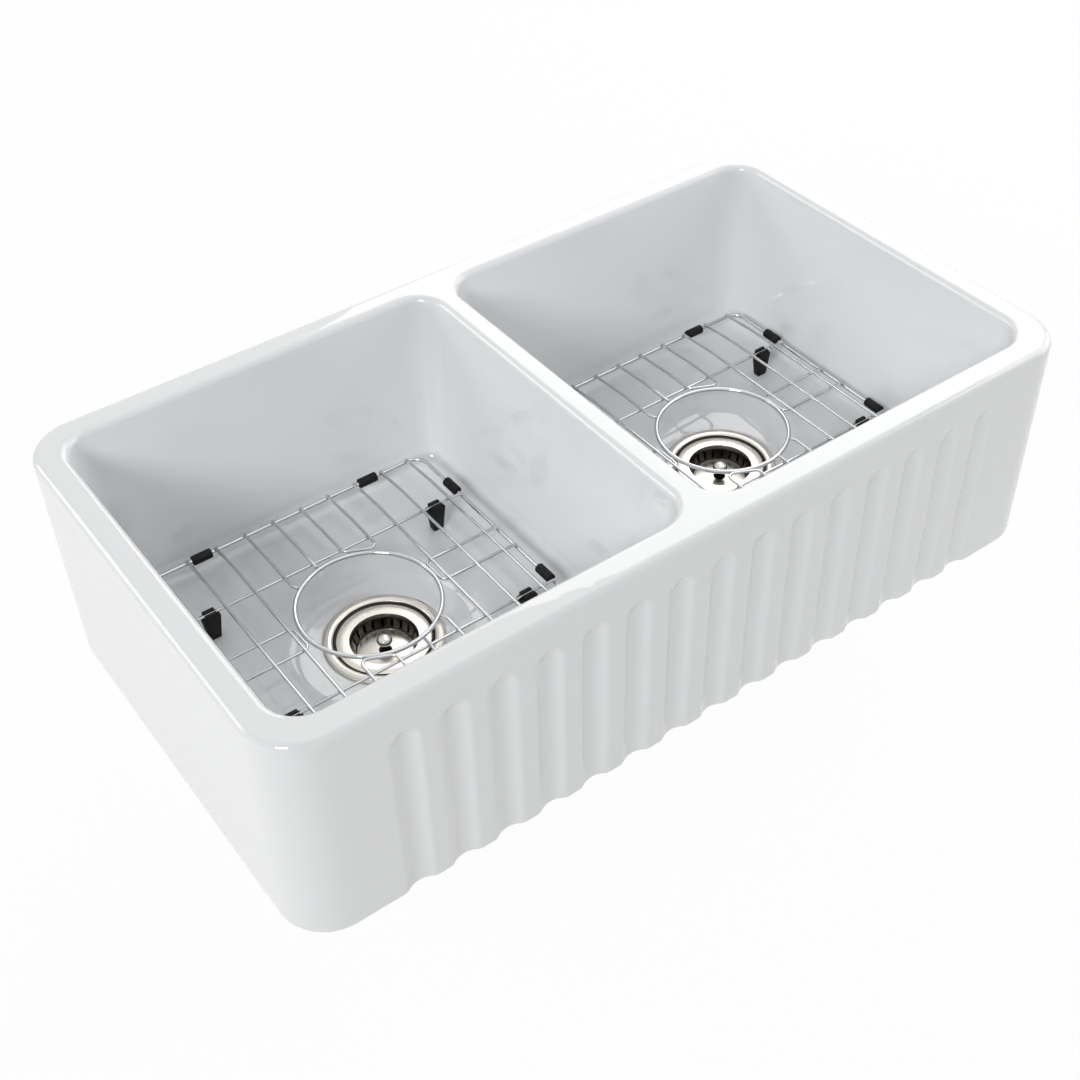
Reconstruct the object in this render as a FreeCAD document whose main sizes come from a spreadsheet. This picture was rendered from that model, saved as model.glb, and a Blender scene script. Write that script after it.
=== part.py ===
import FreeCAD, Part
import math
import os

import Sketcher
from FreeCAD import Vector

# Farmhouse apron front sink: a fluted double bowl with a basket strainer and a wire grid in each bowl.
# Millimetres. +X is right as seen from the front, the apron faces -Y and +Z is up.
# The origin is the centre of the underside of the sink.

SIZES = {
    # ceramic body
    "sink_width": 838.2,
    "sink_depth": 455,
    "sink_height": 230,
    "side_wall": 28,
    "front_wall": 29,
    "back_wall": 26,
    "divider_wall": 25,
    "corner_round": 46,
    "rim_round": 7,
    "lip_round": 7,
    "foot_chamfer": 3,
    "bowl_corner": 30,
    "bowl_draft": 2.5,
    "floor_height": 37,
    "floor_blend": 20,
    # flutes of the apron
    "flute_count": 15,
    "flute_pitch": 44.5,
    "flute_opening": 27,
    "flute_sink": 5,
    "flute_top": 194,
    "flute_edge": 2,
    # drain holes
    "drain_spacing": 407,
    "drain_hole": 90,
    "hole_chamfer": 3,
    "seat_diameter": 117,
    "seat_sink": 2.5,
    "dish_diameter": 160,
    "recess_diameter": 150,
    "recess_height": 15,
    # strainer body
    "flange_diameter": 114.3,
    "flange_edge": 1.2,
    "flange_crown": 102,
    "flange_rise": 3.2,
    "ledge_diameter": 90.8,
    "strainer_metal": 1.2,
    "neck_bore": 84,
    "neck_length": 36,
    "cone_height": 10,
    "outlet_bore": 39,
    "outlet_diameter": 47,
    "outlet_length": 14,
    # washers and lock nut under the sink
    "neck_clearance": 0.2,
    "washer_diameter": 114,
    "washer_height": 3,
    "friction_height": 1.2,
    "lock_nut_diameter": 110,
    "lock_nut_height": 9,
    "lock_notch_count": 6,
    "lock_notch_width": 14,
    "lock_notch_depth": 5,
    # tailpiece and its coupling nut
    "tailpiece_length": 101.6,
    "tailpiece_diameter": 38.1,
    "tailpiece_bore": 35.6,
    "tailpiece_swell": 38.6,
    "tailpiece_flange": 46.4,
    "tailpiece_rim": 1.5,
    "seal_height": 2,
    "coupling_flats": 54,
    "coupling_lip": 3,
    "coupling_grip": 10,
    "coupling_clearance": 0.15,
    # basket
    "basket_diameter": 88.4,
    "basket_mouth": 63,
    "basket_floor": 56,
    "basket_depth": 16,
    "basket_metal": 0.8,
    "dish_rise": 1.5,
    "dish_pad": 15,
    "slot_count": 20,
    "slot_width": 3,
    "slot_height": 8.5,
    "slot_level": 3.5,
    # post, knob, stopper and retaining nut
    "post_diameter": 6,
    "post_clearance": 0.3,
    "post_tip": 2,
    "post_base": 11.6,
    "post_base_height": 3,
    "collar_diameter": 20,
    "collar_height": 1.5,
    "knob_diameter": 15,
    "knob_height": 12,
    "stopper_diameter": 48,
    "stopper_height": 5,
    "stopper_bevel": 1,
    "stopper_gap": 0.4,
    "retainer_flats": 10,
    "retainer_height": 4,
    # wire grid: how far each stands off its bowl's centre, and the room it leaves in the bowl's mouth
    "left_grid_across": -3.2,
    "left_grid_along": 17,
    "right_grid_across": 14.2,
    "right_grid_along": 12,
    "grid_room_across": 70.6,
    "grid_room_along": 92,
    "grid_clearance": 23.5,
    "frame_wire": 4,
    "frame_bend": 14,
    "cross_wire": 3,
    "wire_bend": 6,
    "wire_overrun": 3,
    "long_wire_edge": 15.85,
    "slope_run": 15,
    "slope_end": 5,
    "outer_wire_gap": 5.85,
    "inner_wire_spacing": 31,
    "ring_wire": 4.5,
    "ring_gap": 5.6,
    "weld_gap": 0.15,
    "hook_length": 6,
    "hook_turn": 30,
    # rubber feet and bumpers of the grid
    "rubber_clearance": 0.1,
    "foot_top_length": 18,
    "foot_top_width": 10,
    "foot_base_length": 11,
    "foot_base_width": 8,
    "foot_crown": 2.5,
    "foot_slit": 1,
    "foot_notch": 3,
    "bumper_diameter": 9.8,
    "bumper_length": 20,
    "bumper_inside": 15,
    "bumper_outside": 17.5,
}

WIRE_SIDES = 8
LONG_WIRE_POSITIONS = 5
RING_POSITIONS = 2
KNOB_BANDS = 6
KNOB_FOOT_ANGLE = -60
FINE = 0.01

# heights of shared faces, measured from the underside of the sink
SEAT = "(dims.floor_height - dims.seat_sink)"
STRAINER_HEIGHT = "(dims.outlet_length + dims.cone_height + dims.neck_length)"
OUTLET = "(%s - %s)" % (SEAT, STRAINER_HEIGHT)
WASHER = "(dims.recess_height - dims.washer_height)"
FRICTION = "(%s - dims.friction_height)" % WASHER
TAILPIECE_TOP = "(%s - dims.seal_height)" % OUTLET
BASKET = "(%s - dims.basket_depth)" % SEAT
DISH = "(%s + dims.dish_rise + dims.basket_metal)" % BASKET
KNOB = "(%s + dims.knob_height)" % BASKET
CONE_SLOPE = "dims.cone_height / (dims.neck_bore - dims.outlet_bore)"
CONE_RISE = "(dims.stopper_diameter - dims.outlet_bore) * %s" % CONE_SLOPE
CONE_FOOT = "(%s + dims.outlet_length + dims.strainer_metal)" % OUTLET
STOPPER = "(%s + %s + dims.stopper_gap)" % (CONE_FOOT, CONE_RISE)
RETAINER = "(%s - dims.retainer_height)" % STOPPER
POST = "(%s - dims.post_tip)" % RETAINER

document = FreeCAD.newDocument("apron_sink")
sheet = document.addObject("Spreadsheet::Sheet", "dims")
pieces = []


def fill_sheet():
    for row, (name, value) in enumerate(SIZES.items(), 1):
        sheet.set("A%d" % row, name)
        sheet.set("B%d" % row, str(value))
        sheet.setAlias("B%d" % row, name)
    document.recompute()


def size(name):
    return float(sheet.get(name))


def half(name):
    return "dims.%s / 2" % name


def bind(item, **expressions):
    for name, expression in expressions.items():
        item.setExpression(name.replace("__", "."), expression)


def place(piece, across="0", along="0", up="0"):
    bind(piece, Placement__Base__x=across, Placement__Base__y=along, Placement__Base__z=up)
    pieces.append(piece)


# ---- sketches and features shared by the bodies

def origin_feature(body, role):
    return next(feature for feature in body.Origin.OriginFeatures if feature.Role == role)


def new_body(name):
    body = document.addObject("PartDesign::Body", name)
    body.Label = name
    return body


def new_sketch(body, name, role):
    sketch = body.newObject("Sketcher::SketchObject", name)
    sketch.AttachmentSupport = (origin_feature(body, role), "")
    sketch.MapMode = "FlatFace"
    return sketch


def pin(sketch, line, x, y, start):
    """Hold a line's first point at x and y from the sketch's origin."""
    for kind, axis, expression, value in (("DistanceX", -2, x, start.x), ("DistanceY", -1, y, start.y)):
        if expression == "0":
            sketch.addConstraint(Sketcher.Constraint("PointOnObject", line, 1, axis))
        else:
            index = sketch.addConstraint(Sketcher.Constraint(kind, -1, 1, line, 1, value))
            sketch.setExpression("Constraints[%d]" % index, expression)


def draw_outline(sketch, corners):
    """A closed outline of straight lines whose corners follow the sheet."""
    first = sketch.GeometryCount
    count = len(corners)
    turns = [2 * math.pi * index / count for index in range(count)]
    starts = [Vector(20 * math.cos(turn), 20 * math.sin(turn), 0) for turn in turns]
    for index in range(count):
        sketch.addGeometry(Part.LineSegment(starts[index], starts[(index + 1) % count]), False)
    for index in range(count):
        following = first + (index + 1) % count
        sketch.addConstraint(Sketcher.Constraint("Coincident", first + index, 2, following, 1))
    for index, (x, y) in enumerate(corners):
        pin(sketch, first + index, x, y, starts[index])


def draw_box(sketch, left, right, bottom, top):
    draw_outline(sketch, [(left, bottom), (right, bottom), (right, top), (left, top)])


def revolved(name, corners):
    """A turned piece: its outline in the XZ plane, turned about the upright axis."""
    body = new_body(name)
    outline = new_sketch(body, name + "_outline", "XZ_Plane")
    draw_outline(outline, corners)
    turned = body.newObject("PartDesign::Revolution", name + "_turned")
    turned.Profile = outline
    turned.ReferenceAxis = (outline, ["V_Axis"])
    turned.Angle = 360
    document.recompute()
    return body


def ring_pattern(body, feature, count):
    pattern = body.newObject("PartDesign::PolarPattern", feature.Name + "_ring")
    pattern.Originals = [feature]
    pattern.Axis = (origin_feature(body, "Z_Axis"), [""])
    pattern.Angle = 360
    bind(pattern, Occurrences=count)
    body.Tip = pattern
    document.recompute()
    return pattern


def must_cut(before, after):
    """A cut that points away from its solid shows no error, so the volumes are compared."""
    if not after.Shape.Volume < before.Shape.Volume - FINE:
        raise ValueError("%s removes nothing" % after.Label)


def matching(shape, wanted):
    """The names of the wanted edges in a shape."""
    numbered = enumerate(shape.Edges, 1)
    return ["Edge%d" % number for number, edge in numbered if any(edge.isSame(one) for one in wanted)]


def level_faces(shape, height, up):
    """The level faces at a height whose outside is up (1) or down (-1)."""
    flat = [face for face in shape.Faces if isinstance(face.Surface, Part.Plane)]
    level = [face for face in flat if abs(face.CenterOfMass.z - height) < FINE]
    return [face for face in level if abs(face.normalAt(0, 0).z - up) < FINE]


def edge_feature(body, kind, name, base, edges, value):
    """A Fillet or a Chamfer on edges of the base feature."""
    feature = body.newObject("PartDesign::" + kind, name)
    feature.Base = (base, matching(base.Shape, edges))
    feature.setExpression("Radius" if kind == "Fillet" else "Size", value)
    document.recompute()
    return feature


# ---- ceramic sink

def outer_block(body):
    outline = new_sketch(body, "outer_outline", "XY_Plane")
    width, depth = half("sink_width"), half("sink_depth")
    draw_box(outline, "-" + width, width, "-" + depth, depth)
    block = body.newObject("PartDesign::Pad", "block")
    block.Profile = outline
    bind(block, Length="dims.sink_height")
    document.recompute()
    uprights = [edge for edge in block.Shape.Edges if edge.BoundBox.ZLength > FINE]
    rounded = edge_feature(body, "Fillet", "corner_rounds", block, uprights, "dims.corner_round")
    underside = level_faces(rounded.Shape, 0, -1)[0]
    return edge_feature(body, "Chamfer", "foot_chamfer", rounded, underside.OuterWire.Edges, "dims.foot_chamfer")


def bowl_cavities(body, block):
    """Two tapered bowls with coved floors, side by side with a wall between them."""
    outlines = new_sketch(body, "bowl_outlines", "XY_Plane")
    bind(outlines, AttachmentOffset__Base__z="dims.sink_height")
    front = "-(%s - dims.front_wall)" % half("sink_depth")
    back = "%s - dims.back_wall" % half("sink_depth")
    outer = "(%s - dims.side_wall)" % half("sink_width")
    draw_box(outlines, "-" + outer, "-" + half("divider_wall"), front, back)
    draw_box(outlines, half("divider_wall"), outer, front, back)
    hollow = body.newObject("PartDesign::Pocket", "bowls")
    hollow.Profile = outlines
    bind(hollow, Length="dims.sink_height - dims.floor_height")
    document.recompute()
    must_cut(block, hollow)
    floor, top = size("floor_height"), size("sink_height")
    uprights = [edge for edge in hollow.Shape.Edges if reaches(edge, floor, top)]
    cornered = edge_feature(body, "Fillet", "bowl_corners", hollow, uprights, "dims.bowl_corner")
    tapered = taper_walls(body, cornered, floor, top)
    outline = [edge for face in level_faces(tapered.Shape, floor, 1) for edge in face.OuterWire.Edges]
    return edge_feature(body, "Fillet", "floor_blends", tapered, outline, "dims.floor_blend")


def reaches(item, bottom, top):
    """True for an edge or a face that runs from one height to the other."""
    box = item.BoundBox
    return abs(box.ZMin - bottom) < FINE and abs(box.ZMax - top) < FINE


def taper_walls(body, base, floor, top):
    draft = body.newObject("PartDesign::Draft", "bowl_taper")
    numbered = list(enumerate(base.Shape.Faces, 1))
    walls = ["Face%d" % number for number, face in numbered if reaches(face, floor, top)]
    rim = level_faces(base.Shape, top, 1)[0]
    rims = ["Face%d" % number for number, face in numbered if face.isSame(rim)]
    draft.Base = (base, walls)
    draft.NeutralPlane = (base, rims)
    bind(draft, Angle="dims.bowl_draft")
    document.recompute()
    return draft


def rim_rounds(body, base):
    top = size("sink_height")
    rim = level_faces(base.Shape, top, 1)[0]
    outside = edge_feature(body, "Fillet", "rim_round", base, rim.OuterWire.Edges, "dims.rim_round")
    rim = level_faces(outside.Shape, top, 1)[0]
    mouths = [wire for wire in rim.Wires if not wire.isSame(rim.OuterWire)]
    lips = [edge for wire in mouths for edge in wire.Edges]
    return edge_feature(body, "Fillet", "lip_rounds", outside, lips, "dims.lip_round")


def flute_profile(body, radius):
    """Half of an upright round-ended bar: its side, its end and the quarter circle of its top."""
    profile = new_sketch(body, "flute_profile", "YZ_Plane")
    first = "-%s * (dims.flute_count - 1) / 2" % "dims.flute_pitch"
    bind(profile, AttachmentOffset__Base__x="-%s - (%s) + dims.flute_sink" % (half("sink_depth"), radius))
    bind(profile, AttachmentOffset__Base__z=first)
    reach = 20
    centre, below, side = Vector(0, reach, 0), Vector(0, -reach, 0), Vector(reach, -reach, 0)
    level, tip = Vector(reach, reach, 0), Vector(0, 2 * reach, 0)
    profile.addGeometry(Part.LineSegment(tip, below), False)
    profile.addGeometry(Part.LineSegment(below, side), False)
    profile.addGeometry(Part.LineSegment(side, level), False)
    circle = Part.Circle(centre, Vector(0, 0, 1), reach)
    profile.addGeometry(Part.ArcOfCircle(circle, 0, math.pi / 2), False)
    for one, two in ((0, 1), (1, 2)):
        profile.addConstraint(Sketcher.Constraint("Coincident", one, 2, two, 1))
    profile.addConstraint(Sketcher.Constraint("Tangent", 2, 2, 3, 1))
    profile.addConstraint(Sketcher.Constraint("Coincident", 3, 2, 0, 1))
    for line, point in ((0, 1), (0, 2), (3, 3)):
        profile.addConstraint(Sketcher.Constraint("PointOnObject", line, point, -2))
    profile.addConstraint(Sketcher.Constraint("Horizontal", 1))
    profile.addConstraint(Sketcher.Constraint("Vertical", 2))
    below_foot = profile.addConstraint(Sketcher.Constraint("DistanceY", -1, 1, 0, 2, -reach))
    profile.setExpression("Constraints[%d]" % below_foot, "-dims.foot_chamfer")
    rounding = profile.addConstraint(Sketcher.Constraint("Radius", 3, reach))
    profile.setExpression("Constraints[%d]" % rounding, radius)
    height = profile.addConstraint(Sketcher.Constraint("DistanceY", -1, 1, 3, 3, reach))
    profile.setExpression("Constraints[%d]" % height, "dims.flute_top - " + half("flute_opening"))
    return profile


def apron_flutes(body, base):
    """Upright flutes with rounded tops, each a slice of a round-ended bar, that run out at the bottom."""
    chord = "dims.flute_opening * dims.flute_opening / 4"
    radius = "(%s + dims.flute_sink * dims.flute_sink) / (2 * dims.flute_sink)" % chord
    flute = body.newObject("PartDesign::Groove", "flute")
    flute.Profile = flute_profile(body, radius)
    flute.ReferenceAxis = (flute.Profile[0], ["V_Axis"])
    flute.Angle = 360
    document.recompute()
    must_cut(base, flute)
    row = body.newObject("PartDesign::LinearPattern", "flute_row")
    row.Originals = [flute]
    row.Direction = (origin_feature(body, "X_Axis"), [""])
    bind(row, Length="dims.flute_pitch * (dims.flute_count - 1)", Occurrences="dims.flute_count")
    body.Tip = row
    document.recompute()
    return edge_feature(body, "Chamfer", "flute_edges", row, flute_edges(row.Shape), "dims.flute_edge")


def flute_edges(shape):
    apron = -size("sink_depth") / 2
    faces = [face for face in shape.Faces if abs(face.CenterOfMass.y - apron) < FINE]
    flat = [face for face in faces if face.BoundBox.YLength < FINE]
    edges = [edge for face in flat for edge in face.Edges if edge.BoundBox.ZLength > FINE]
    return [edge for edge in edges if edge.BoundBox.ZMax < size("flute_top") + FINE]


def drain_holes(body, base):
    """A dished floor, the strainer's seat, the hole and the recess under it, turned in one cut."""
    profile = new_sketch(body, "drain_profile", "XZ_Plane")
    bind(profile, AttachmentOffset__Base__x=half("drain_spacing"))
    above = "dims.floor_height + dims.seat_sink"
    outermost = "(dims.dish_diameter + %s) / 2" % "(dims.dish_diameter - dims.seat_diameter)"
    bevel = "%s + dims.hole_chamfer" % half("drain_hole")
    draw_outline(profile, [
        ("0", "-dims.foot_chamfer"),
        (half("recess_diameter"), "-dims.foot_chamfer"),
        (half("recess_diameter"), "dims.recess_height"),
        (half("drain_hole"), "dims.recess_height"),
        (half("drain_hole"), SEAT + " - dims.hole_chamfer"),
        (bevel, SEAT),
        (half("seat_diameter"), SEAT),
        (outermost, above),
        ("0", above),
    ])
    drain = body.newObject("PartDesign::Groove", "drain")
    drain.Profile = profile
    drain.ReferenceAxis = (profile, ["V_Axis"])
    drain.Angle = 360
    document.recompute()
    must_cut(base, drain)
    both = body.newObject("PartDesign::Mirrored", "both_drains")
    both.Originals = [drain]
    both.MirrorPlane = (origin_feature(body, "YZ_Plane"), [""])
    body.Tip = both
    document.recompute()
    must_cut(drain, both)


def sink_body():
    body = new_body("sink_body")
    block = outer_block(body)
    hollow = bowl_cavities(body, block)
    rounded = rim_rounds(body, hollow)
    fluted = apron_flutes(body, rounded)
    drain_holes(body, fluted)
    place(body)


# ---- strainer, fastened to the sink

def strainer_body(side, across):
    metal = "dims.strainer_metal"
    neck_outside = "%s + %s" % (half("neck_bore"), metal)
    step = "%s + %s" % (half("ledge_diameter"), metal)
    cone_foot = "dims.outlet_length"
    cone_head = "dims.outlet_length + dims.cone_height"
    seat = STRAINER_HEIGHT
    body = revolved(side + "_strainer_body", [
        (half("outlet_bore"), "0"),
        (half("outlet_diameter"), "0"),
        (half("outlet_diameter"), cone_foot),
        (neck_outside, cone_head),
        (neck_outside, "%s - %s" % (seat, metal)),
        (step, "%s - %s" % (seat, metal)),
        (step, seat),
        (half("flange_diameter"), seat),
        (half("flange_diameter"), seat + " + dims.flange_edge"),
        (half("flange_crown"), seat + " + dims.flange_rise"),
        (step, seat + " + dims.flange_rise"),
        (half("ledge_diameter"), "%s + dims.flange_rise - %s" % (seat, metal)),
        (half("ledge_diameter"), seat),
        (half("neck_bore"), seat),
        (half("neck_bore"), "%s + %s" % (cone_head, metal)),
        (half("outlet_bore"), "%s + %s" % (cone_foot, metal)),
    ])
    place(body, across=across, up=OUTLET)


def ring(name, outer_radius, inner_radius, height, across, up):
    """A flat ring: one cylinder cut out of another."""
    disc = document.addObject("Part::Cylinder", name + "_disc")
    bind(disc, Radius=outer_radius, Height=height)
    bore = document.addObject("Part::Cylinder", name + "_bore")
    bind(bore, Radius=inner_radius, Height=height)
    piece = document.addObject("Part::Cut", name)
    piece.Label = name
    piece.Base = disc
    piece.Tool = bore
    place(piece, across=across, up=up)


def neck_rings(side, across):
    """The rubber washer against the sink and the card ring that lets the lock nut turn."""
    bore = "%s + dims.strainer_metal + dims.neck_clearance" % half("neck_bore")
    outside = half("washer_diameter")
    ring(side + "_rubber_washer", outside, bore, "dims.washer_height", across, WASHER)
    ring(side + "_friction_ring", outside, bore, "dims.friction_height", across, FRICTION)


def lock_nut(side, across):
    """A large flat ring nut with notches round its edge for the spanner."""
    name = side + "_lock_nut"
    bore = "%s + dims.strainer_metal + dims.neck_clearance" % half("neck_bore")
    outside = half("lock_nut_diameter")
    height = "dims.lock_nut_height"
    body = revolved(name, [(bore, "0"), (outside, "0"), (outside, height), (bore, height)])
    outline = new_sketch(body, name + "_notch_outline", "XY_Plane")
    width = half("lock_notch_width")
    draw_box(outline, outside + " - dims.lock_notch_depth", outside + " + dims.lock_notch_depth", "-" + width, width)
    notch = body.newObject("PartDesign::Pocket", name + "_notch")
    notch.Profile = outline
    notch.Reversed = True
    bind(notch, Length=height)
    document.recompute()
    must_cut(notch.BaseFeature, notch)
    ring_pattern(body, notch, "dims.lock_notch_count")
    place(body, across=across, up="%s - %s" % (FRICTION, height))


def tailpiece(side, across):
    """A thin tube with a turned-out flange, drawn up against the outlet."""
    inside = half("tailpiece_bore")
    length = "dims.tailpiece_length"
    under_flange = "%s - dims.tailpiece_rim" % length
    under_nut = "%s - dims.coupling_lip" % under_flange
    body = revolved(side + "_tailpiece", [
        (inside, "0"),
        (half("tailpiece_diameter"), "0"),
        (half("tailpiece_diameter"), under_nut),
        (half("tailpiece_swell"), under_nut),
        (half("tailpiece_swell"), under_flange),
        (half("tailpiece_flange"), under_flange),
        (half("tailpiece_flange"), length),
        (inside, length),
    ])
    place(body, across=across, up="%s - %s" % (TAILPIECE_TOP, length))


def tailpiece_washer(side, across):
    ring(side + "_tailpiece_washer", half("tailpiece_flange"), half("outlet_bore"), "dims.seal_height",
         across, TAILPIECE_TOP)


def coupling_nut(side, across):
    """A hexagon nut round the outlet whose lip holds the tailpiece's flange."""
    name = side + "_coupling_nut"
    grip = "dims.tailpiece_rim + dims.seal_height + dims.coupling_grip"
    hexagon = document.addObject("Part::Prism", name + "_hexagon")
    hexagon.Polygon = 6
    bind(hexagon, Circumradius="dims.coupling_flats / 2 / cos(30 deg)", Height="dims.coupling_lip + " + grip)
    passage = document.addObject("Part::Cylinder", name + "_passage")
    bind(passage, Radius=half("tailpiece_swell") + " + dims.coupling_clearance", Height="dims.coupling_lip")
    thread = document.addObject("Part::Cylinder", name + "_thread")
    bind(thread, Radius=half("outlet_diameter") + " + dims.coupling_clearance", Height=grip)
    bind(thread, Placement__Base__z="dims.coupling_lip")
    bores = document.addObject("Part::MultiFuse", name + "_bores")
    bores.Shapes = [passage, thread]
    nut = document.addObject("Part::Cut", name)
    nut.Label = name
    nut.Base = hexagon
    nut.Tool = bores
    place(nut, across=across, up="%s - dims.tailpiece_rim - dims.coupling_lip" % TAILPIECE_TOP)


# ---- basket, lifted out by its knob

def basket_cup(side, across):
    """A shallow cup that hangs by its rim on the strainer's ledge, with upright slots in its wall."""
    name = side + "_basket_cup"
    metal = "dims.basket_metal"
    hole = "%s + dims.post_clearance" % half("post_diameter")
    body = revolved(name, [
        (hole, "dims.dish_rise"),
        (half("dish_pad"), "dims.dish_rise"),
        (half("basket_floor"), "0"),
        (half("basket_mouth"), "dims.basket_depth"),
        (half("basket_diameter"), "dims.basket_depth"),
        (half("basket_diameter"), "dims.basket_depth + " + metal),
        ("%s - %s" % (half("basket_mouth"), metal), "dims.basket_depth + " + metal),
        ("%s - %s" % (half("basket_floor"), metal), metal),
        (half("dish_pad"), "dims.dish_rise + " + metal),
        (hole, "dims.dish_rise + " + metal),
    ])
    outline = new_sketch(body, name + "_slot_outline", "XZ_Plane")
    width = half("slot_width")
    draw_box(outline, "-" + width, width, "dims.slot_level", "dims.slot_level + dims.slot_height")
    slot = body.newObject("PartDesign::Pocket", name + "_slot")
    slot.Profile = outline
    bind(slot, Length=half("basket_diameter"))
    document.recompute()
    must_cut(slot.BaseFeature, slot)
    ring_pattern(body, slot, "dims.slot_count")
    place(body, across=across, up=BASKET)


def basket_post(side, across):
    """The turned post: a threaded tip, the collar over the stopper and the foot that rests on the dish."""
    stem = half("post_diameter")
    collar = "dims.post_tip + dims.retainer_height + dims.stopper_height"
    rest = "%s - %s" % (DISH, POST)
    body = revolved(side + "_basket_post", [
        ("0", "0"),
        (stem, "0"),
        (stem, collar),
        (half("collar_diameter"), collar),
        (half("collar_diameter"), collar + " + dims.collar_height"),
        (stem, collar + " + dims.collar_height"),
        (stem, rest),
        (half("post_base"), rest),
        (stem, rest + " + dims.post_base_height"),
        (stem, "%s - %s" % (KNOB, POST)),
        ("0", "%s - %s" % (KNOB, POST)),
    ])
    place(body, across=across, up=POST)


def basket_knob(side, across):
    """A ball, turned in narrow bands, with a socket for the post up to its centre."""
    ball = half("knob_diameter")
    sweep = 90 - KNOB_FOOT_ANGLE
    angles = [KNOB_FOOT_ANGLE + sweep * band / KNOB_BANDS for band in range(KNOB_BANDS)]
    outline = [("%s * cos(%g deg)" % (ball, angle), "%s * sin(%g deg)" % (ball, angle)) for angle in angles]
    foot = outline[0][1]
    top = [("0", ball), ("0", "0"), (half("post_diameter"), "0"), (half("post_diameter"), foot)]
    body = revolved(side + "_basket_knob", outline + top)
    place(body, across=across, up=KNOB)


def basket_stopper(side, across):
    bore, outside = half("post_diameter"), half("stopper_diameter")
    bevel, height = "dims.stopper_bevel", "dims.stopper_height"
    body = revolved(side + "_basket_stopper", [
        (bore, "0"),
        (outside, "0"),
        (outside, "%s - %s" % (height, bevel)),
        ("%s - %s" % (outside, bevel), height),
        (bore, height),
    ])
    place(body, across=across, up=STOPPER)


def retainer_nut(side, across):
    name = side + "_retainer_nut"
    hexagon = document.addObject("Part::Prism", name + "_hexagon")
    hexagon.Polygon = 6
    bind(hexagon, Circumradius="dims.retainer_flats / 2 / cos(30 deg)", Height="dims.retainer_height")
    bore = document.addObject("Part::Cylinder", name + "_bore")
    bind(bore, Radius=half("post_diameter"), Height="dims.retainer_height")
    nut = document.addObject("Part::Cut", name)
    nut.Label = name
    nut.Base = hexagon
    nut.Tool = bore
    place(nut, across=across, up=RETAINER)


# ---- wire grid, stood in the bowl; heights here are from the bowl's floor

def grid_width():
    bowl = (size("sink_width") - size("divider_wall")) / 2 - size("side_wall")
    return bowl - size("grid_room_across")


def grid_depth():
    bowl = size("sink_depth") - size("front_wall") - size("back_wall")
    return bowl - size("grid_room_along")


def long_pitch():
    """The front-to-back wires divide the grid's width evenly, and stay off the frame's sides."""
    return (grid_width() - 2 * size("long_wire_edge")) / (2 * LONG_WIRE_POSITIONS - 1)


def frame_level():
    return size("grid_clearance") + size("frame_wire") / 2


def cross_level():
    """The side-to-side wires lie on the frame."""
    return size("grid_clearance") + size("frame_wire") + size("cross_wire") / 2


def long_level():
    """The front-to-back wires lie on the side-to-side wires."""
    return cross_level() + size("cross_wire")


def ring_outside():
    """The ring lies inside the first front-to-back wires that pass it whole."""
    return long_pitch() * (RING_POSITIONS + 0.5) - size("cross_wire") / 2 - size("ring_gap")


def outer_wire():
    """From the grid's centre to the side-to-side wires that pass the ring whole."""
    return ring_outside() + size("outer_wire_gap") + size("cross_wire") / 2


def wire_radius(diameter):
    """To the corners of a wire's eight-sided section, which measures its diameter across the flats."""
    return diameter / 2 / math.cos(math.pi / WIRE_SIDES)


def wire_section(centre, forward, diameter):
    side = forward.cross(Vector(0, 0, 1)).normalize()
    up = side.cross(forward)
    radius = wire_radius(diameter)
    turns = [2 * math.pi * (index + 0.5) / WIRE_SIDES for index in range(WIRE_SIDES)]
    corners = [centre + side * (radius * math.cos(turn)) + up * (radius * math.sin(turn)) for turn in turns]
    return Part.Face(Part.makePolygon(corners + corners[:1]))


def bent_wire(points, diameter, bend):
    """A wire through points: each straight run extrudes its section, each bend turns it about the bend's centre."""
    runs = []
    here = points[0]
    forward = (points[1] - here).normalize()
    section = wire_section(here, forward, diameter)
    for corner, beyond in zip(points[1:], points[2:]):
        onward = (beyond - corner).normalize()
        turn = forward.getAngle(onward)
        setback = bend * math.tan(turn / 2)
        axis = forward.cross(onward).normalize()
        start = corner - forward * setback
        centre = start + axis.cross(forward) * bend
        runs.append(section.extrude(start - here))
        section.translate(start - here)
        runs.append(section.revolve(centre, axis, math.degrees(turn)))
        section.rotate(centre, axis, math.degrees(turn))
        here = corner + onward * setback
        forward = onward
    runs.append(section.extrude(points[-1] - here))
    return runs[0].multiFuse(runs[1:]).removeSplitter().Solids[0]


def turned_half(shapes):
    """The same wires again, turned half round the grid's centre."""
    return [shape.copy().rotate(Vector(), Vector(0, 0, 1), 180) for shape in shapes]


def frame_solids():
    width, depth, level = grid_width() / 2, grid_depth() / 2, frame_level()
    corners = [(0, -depth), (width, -depth), (width, depth), (-width, depth), (-width, -depth), (0, -depth)]
    points = [Vector(x, y, level) for x, y in corners]
    return [bent_wire(points, size("frame_wire"), size("frame_bend"))]


def cross_solids():
    """Two full side-to-side wires, and a hairpin on each side whose end touches the ring."""
    level, reach = cross_level(), grid_width() / 2 + size("wire_overrun")
    outer, inner = outer_wire(), size("inner_wire_spacing") / 2
    touch = ring_outside() + size("cross_wire") / 2
    straight = [Vector(-reach, outer, level), Vector(reach, outer, level)]
    hairpin = [(-reach, inner), (-touch, inner), (-touch, -inner), (-reach, -inner)]
    wires = [
        bent_wire(straight, size("cross_wire"), size("wire_bend")),
        bent_wire([Vector(x, y, level) for x, y in hairpin], size("cross_wire"), size("wire_bend")),
    ]
    return wires + turned_half(wires)


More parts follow.
